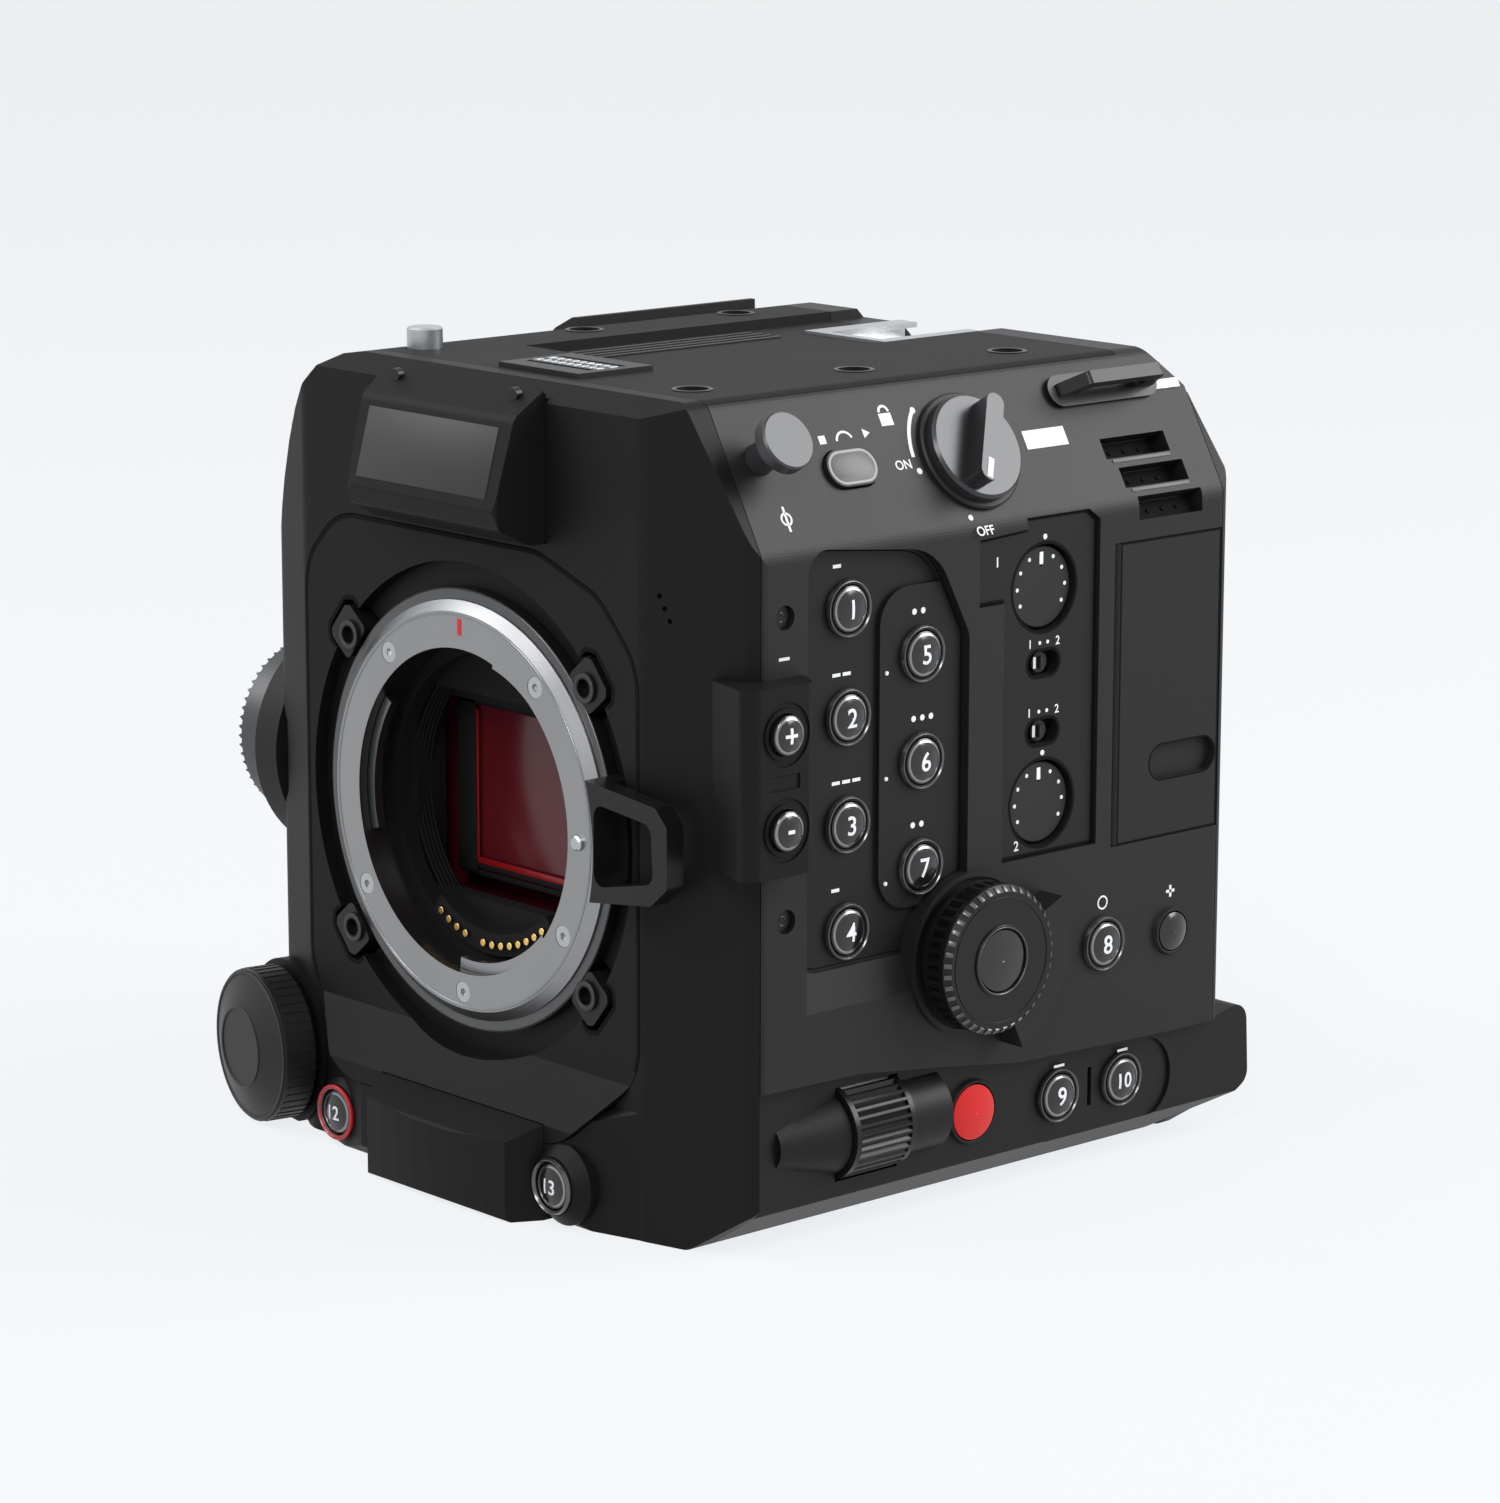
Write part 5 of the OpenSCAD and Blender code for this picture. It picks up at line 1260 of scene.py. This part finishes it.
@dataclass(frozen=True)
class ShadeSeam:
    """A near-black line of painted shade along the rim of a flat CAD face, for the shade in the
    gap there.

    The face looks along an axis, at a level on it. With a clear radius the line stops near
    the lens axis and behind the chin.
    """

    node: str
    body: str
    axis: int
    sign: float
    level: float
    width: float
    clear: float = 0.0
    chin: Pair = (41.0, -32.0)

    def build(self) -> None:
        """Adds the painted shade line."""
        shape = Shape()
        bm = shape.bm
        bm.from_mesh(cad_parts[self.node].data)
        bmesh.ops.remove_doubles(bm, verts=bm.verts, dist=1e-6)
        other = [f for f in bm.faces if not self._flat(f)]
        bmesh.ops.delete(bm, geom=other, context="FACES")
        rim = bmesh.ops.inset_region(bm, faces=list(bm.faces), use_boundary=True,
                                     use_even_offset=True, thickness=self.width * MM)["faces"]
        keep = {f for f in rim if not self._covered(f)}
        bmesh.ops.delete(bm, geom=[f for f in bm.faces if f not in keep], context="FACES")
        grown = bmesh.ops.extrude_face_region(bm, geom=list(bm.faces), use_keep_orig=True)
        upper = [g for g in grown["geom"] if isinstance(g, bmesh.types.BMVert)]
        lift = Vector((0.0, 0.0, 0.0))
        lift[self.axis] = self.sign * LIFT * MM
        bmesh.ops.translate(bm, verts=upper, vec=lift)
        bmesh.ops.recalc_face_normals(bm, faces=bm.faces)
        # The strip is painted shade, for the shade in the gap round the face.
        add_piece(f"seam_{self.node}", shape, self.body, PAINTED_SHADE)

    def _flat(self, face: bmesh.types.BMFace) -> bool:
        """Tells whether a face belongs to the flat one.

        Args:
            face: A face of the node.

        Returns:
            Whether it looks along the axis and lies at the level.
        """
        if face.normal[self.axis] * self.sign < 0.99:
            return False
        return all(abs(v.co[self.axis] - self.level * MM) <= 0.05 * MM for v in face.verts)

    def _covered(self, face: bmesh.types.BMFace) -> bool:
        """Tells whether a stretch of the line is left out.

        Args:
            face: A face of the line.

        Returns:
            Whether it lies too near to the lens axis or behind the chin.
        """
        x, _, z = (face.calc_center_median() - place(0.0, 0.0, 0.0)) / MM
        chin_x, chin_z = self.chin
        behind = z < chin_z and abs(x) < chin_x
        return self.clear > 0 and (math.hypot(x, z) < self.clear or behind)


@dataclass
class ShadeSeams:
    """The painted shade lines in the gaps round the mount panel, the level panel and the media
    door.
    """

    lines: tuple[ShadeSeam, ...] = (
        ShadeSeam("mount_panel", "body", 1, -1.0, -50.5, 0.7, 41.95),
        ShadeSeam("level_panel", "body", 0, 1.0, 63.2, 0.5),
        ShadeSeam("media_door", "media_door", 0, 1.0, 64.0, 0.3),
    )

    def build(self) -> None:
        """Adds the painted shade lines."""
        for line in self.lines:
            line.build()


@dataclass(frozen=True)
class Lamp:
    """One soft studio light."""

    name: str
    spot: Triple
    size: float
    power: float
    aim: Triple = (0.0, 0.0, 0.06)

    def build(self) -> None:
        """Adds the light."""
        data = bpy.data.lights.new(self.name, "AREA")
        data.shape = "SQUARE"
        data.size = self.size
        data.energy = self.power
        light = bpy.data.objects.new(self.name, data)
        bpy.context.scene.collection.objects.link(light)
        light.location = self.spot
        aside = Vector(self.spot) - Vector(self.aim)
        light.rotation_euler = aside.to_track_quat("Z", "Y").to_euler()


@dataclass(frozen=True)
class Room:
    """Floor, background and lights."""

    paper: Triple = (0.897, 0.914, 0.934)
    soft: Triple = (0.88, 0.88, 0.89)
    level: float = 0.38
    glow: float = 0.90
    reach: float = 9.0
    lamps: tuple[Lamp, ...] = (
        Lamp("sheen", (0.72, 0.86, 0.74), 0.8, 17.0),
        Lamp("key", (0.80, -0.95, 1.05), 0.5, 10.2),
        Lamp("left", (-0.95, -0.75, 0.85), 0.7, 6.0),
        Lamp("ledge", (-0.25, -0.95, 1.45), 0.6, 7.0),
    )

    def build(self) -> None:
        """Adds the world, the floor and the lamps."""
        scene = bpy.context.scene
        scene.world = bpy.data.worlds.new("studio")
        tree = clean_tree(scene.world)
        soft = add_node(tree, "ShaderNodeBackground", None,
                        {"Color": (*self.soft, 1), "Strength": self.level})
        seen = add_node(tree, "ShaderNodeBackground", None,
                        {"Color": (*self.paper, 1), "Strength": 1.0})
        mix = add_node(tree, "ShaderNodeMixShader", None,
                       {0: self._seen(tree), 1: soft.outputs[0], 2: seen.outputs[0]})
        add_node(tree, "ShaderNodeOutputWorld", None, {0: mix.outputs[0]})
        self._floor()
        for lamp in self.lamps:
            lamp.build()
        scene.view_settings.view_transform = "Standard"

    @staticmethod
    def _seen(tree: Tree) -> Signal:
        """Marks the rays that show the background.

        Args:
            tree: The tree of the world or the floor.

        Returns:
            One for these rays.
        """
        path = add_node(tree, "ShaderNodeLightPath")
        kinds = ("Is Camera Ray", "Is Glossy Ray", "Is Transmission Ray")
        camera, glossy, through = (Signal(tree, path.outputs[kind]) for kind in kinds)
        return (camera + glossy + through).clamp()

    def _floor(self) -> None:
        """Adds the pale floor, which keeps the object's shadow."""
        material = bpy.data.materials.new("floor paper")
        tree = clean_tree(material)
        matt = add_node(tree, "ShaderNodeBsdfDiffuse", None, {"Color": (*self.paper, 1)})
        lit = add_node(tree, "ShaderNodeEmission", None,
                       {"Color": (*self.paper, 1), "Strength": 1.0})
        share = self._seen(tree) * self.glow
        mix = add_node(tree, "ShaderNodeMixShader", None,
                       {0: share, 1: matt.outputs[0], 2: lit.outputs[0]})
        add_node(tree, "ShaderNodeOutputMaterial", None, {0: mix.outputs[0]})
        bm = bmesh.new()
        bmesh.ops.create_grid(bm, x_segments=1, y_segments=1, size=self.reach)
        bmesh.ops.translate(bm, verts=bm.verts, vec=(0, 0, -LIFT * MM))
        mesh = bpy.data.meshes.new("floor")
        bm.to_mesh(mesh)
        bm.free()
        floor = bpy.data.objects.new("floor", mesh)
        bpy.context.scene.collection.objects.link(floor)
        mesh.materials.append(material)


@dataclass(frozen=True)
class Shot:
    """The photo's camera, as fitted to it, with the lens flange at mount_px."""

    azimuth: float = 48.019
    elevation: float = 12.022
    roll: float = 0.089
    focal_px: float = 5074.58
    width_px: float = 1500.0
    height_px: float = 1503.0
    mount_px: Pair = (461.03, 812.20)
    depth: float = 824.9
    film_mm: float = 36.0
    near: float = 0.01

    def build(self) -> None:
        """Adds the camera at the photo's place."""
        a, e, roll = (math.radians(v) for v in (self.azimuth, self.elevation, self.roll))
        level = Vector((math.cos(a), math.sin(a), 0.0))
        back = Vector((math.sin(a) * math.cos(e), -math.cos(a) * math.cos(e), math.sin(e)))
        upright = back.cross(level)
        right = level * math.cos(roll) + upright * math.sin(roll)
        up = upright * math.cos(roll) - level * math.sin(roll)
        u = (self.mount_px[0] - self.width_px / 2) / self.focal_px * self.depth
        v = (self.height_px / 2 - self.mount_px[1]) / self.focal_px * self.depth
        spot = back * self.depth - right * u - up * v
        data = bpy.data.cameras.new("photo_camera")
        data.sensor_fit = "HORIZONTAL"
        data.sensor_width = self.film_mm
        data.lens = self.film_mm * self.focal_px / self.width_px
        data.clip_start = self.near
        data.dof.use_dof = False
        camera = bpy.data.objects.new("photo_camera", data)
        bpy.context.scene.collection.objects.link(camera)
        basis = Matrix((right, up, back)).transposed().to_4x4()
        camera.matrix_world = Matrix.Translation(place(*spot)) @ basis
        bpy.context.scene.camera = camera


PARTS = (Casings, Buttons, Legends, Dials, Screws, Hood, Cap, Throat, MountTrim, Vents,
         TopTrim, ShadeSeams, Room, Shot)


def main() -> None:
    """Builds the sub-assemblies in order, then the room and the shot."""
    logging.basicConfig(level=logging.INFO, format="%(message)s")
    for part in PARTS:
        part().build()
        LOG.info("%s built", part.__name__)


if __name__ == "__main__":
    main()
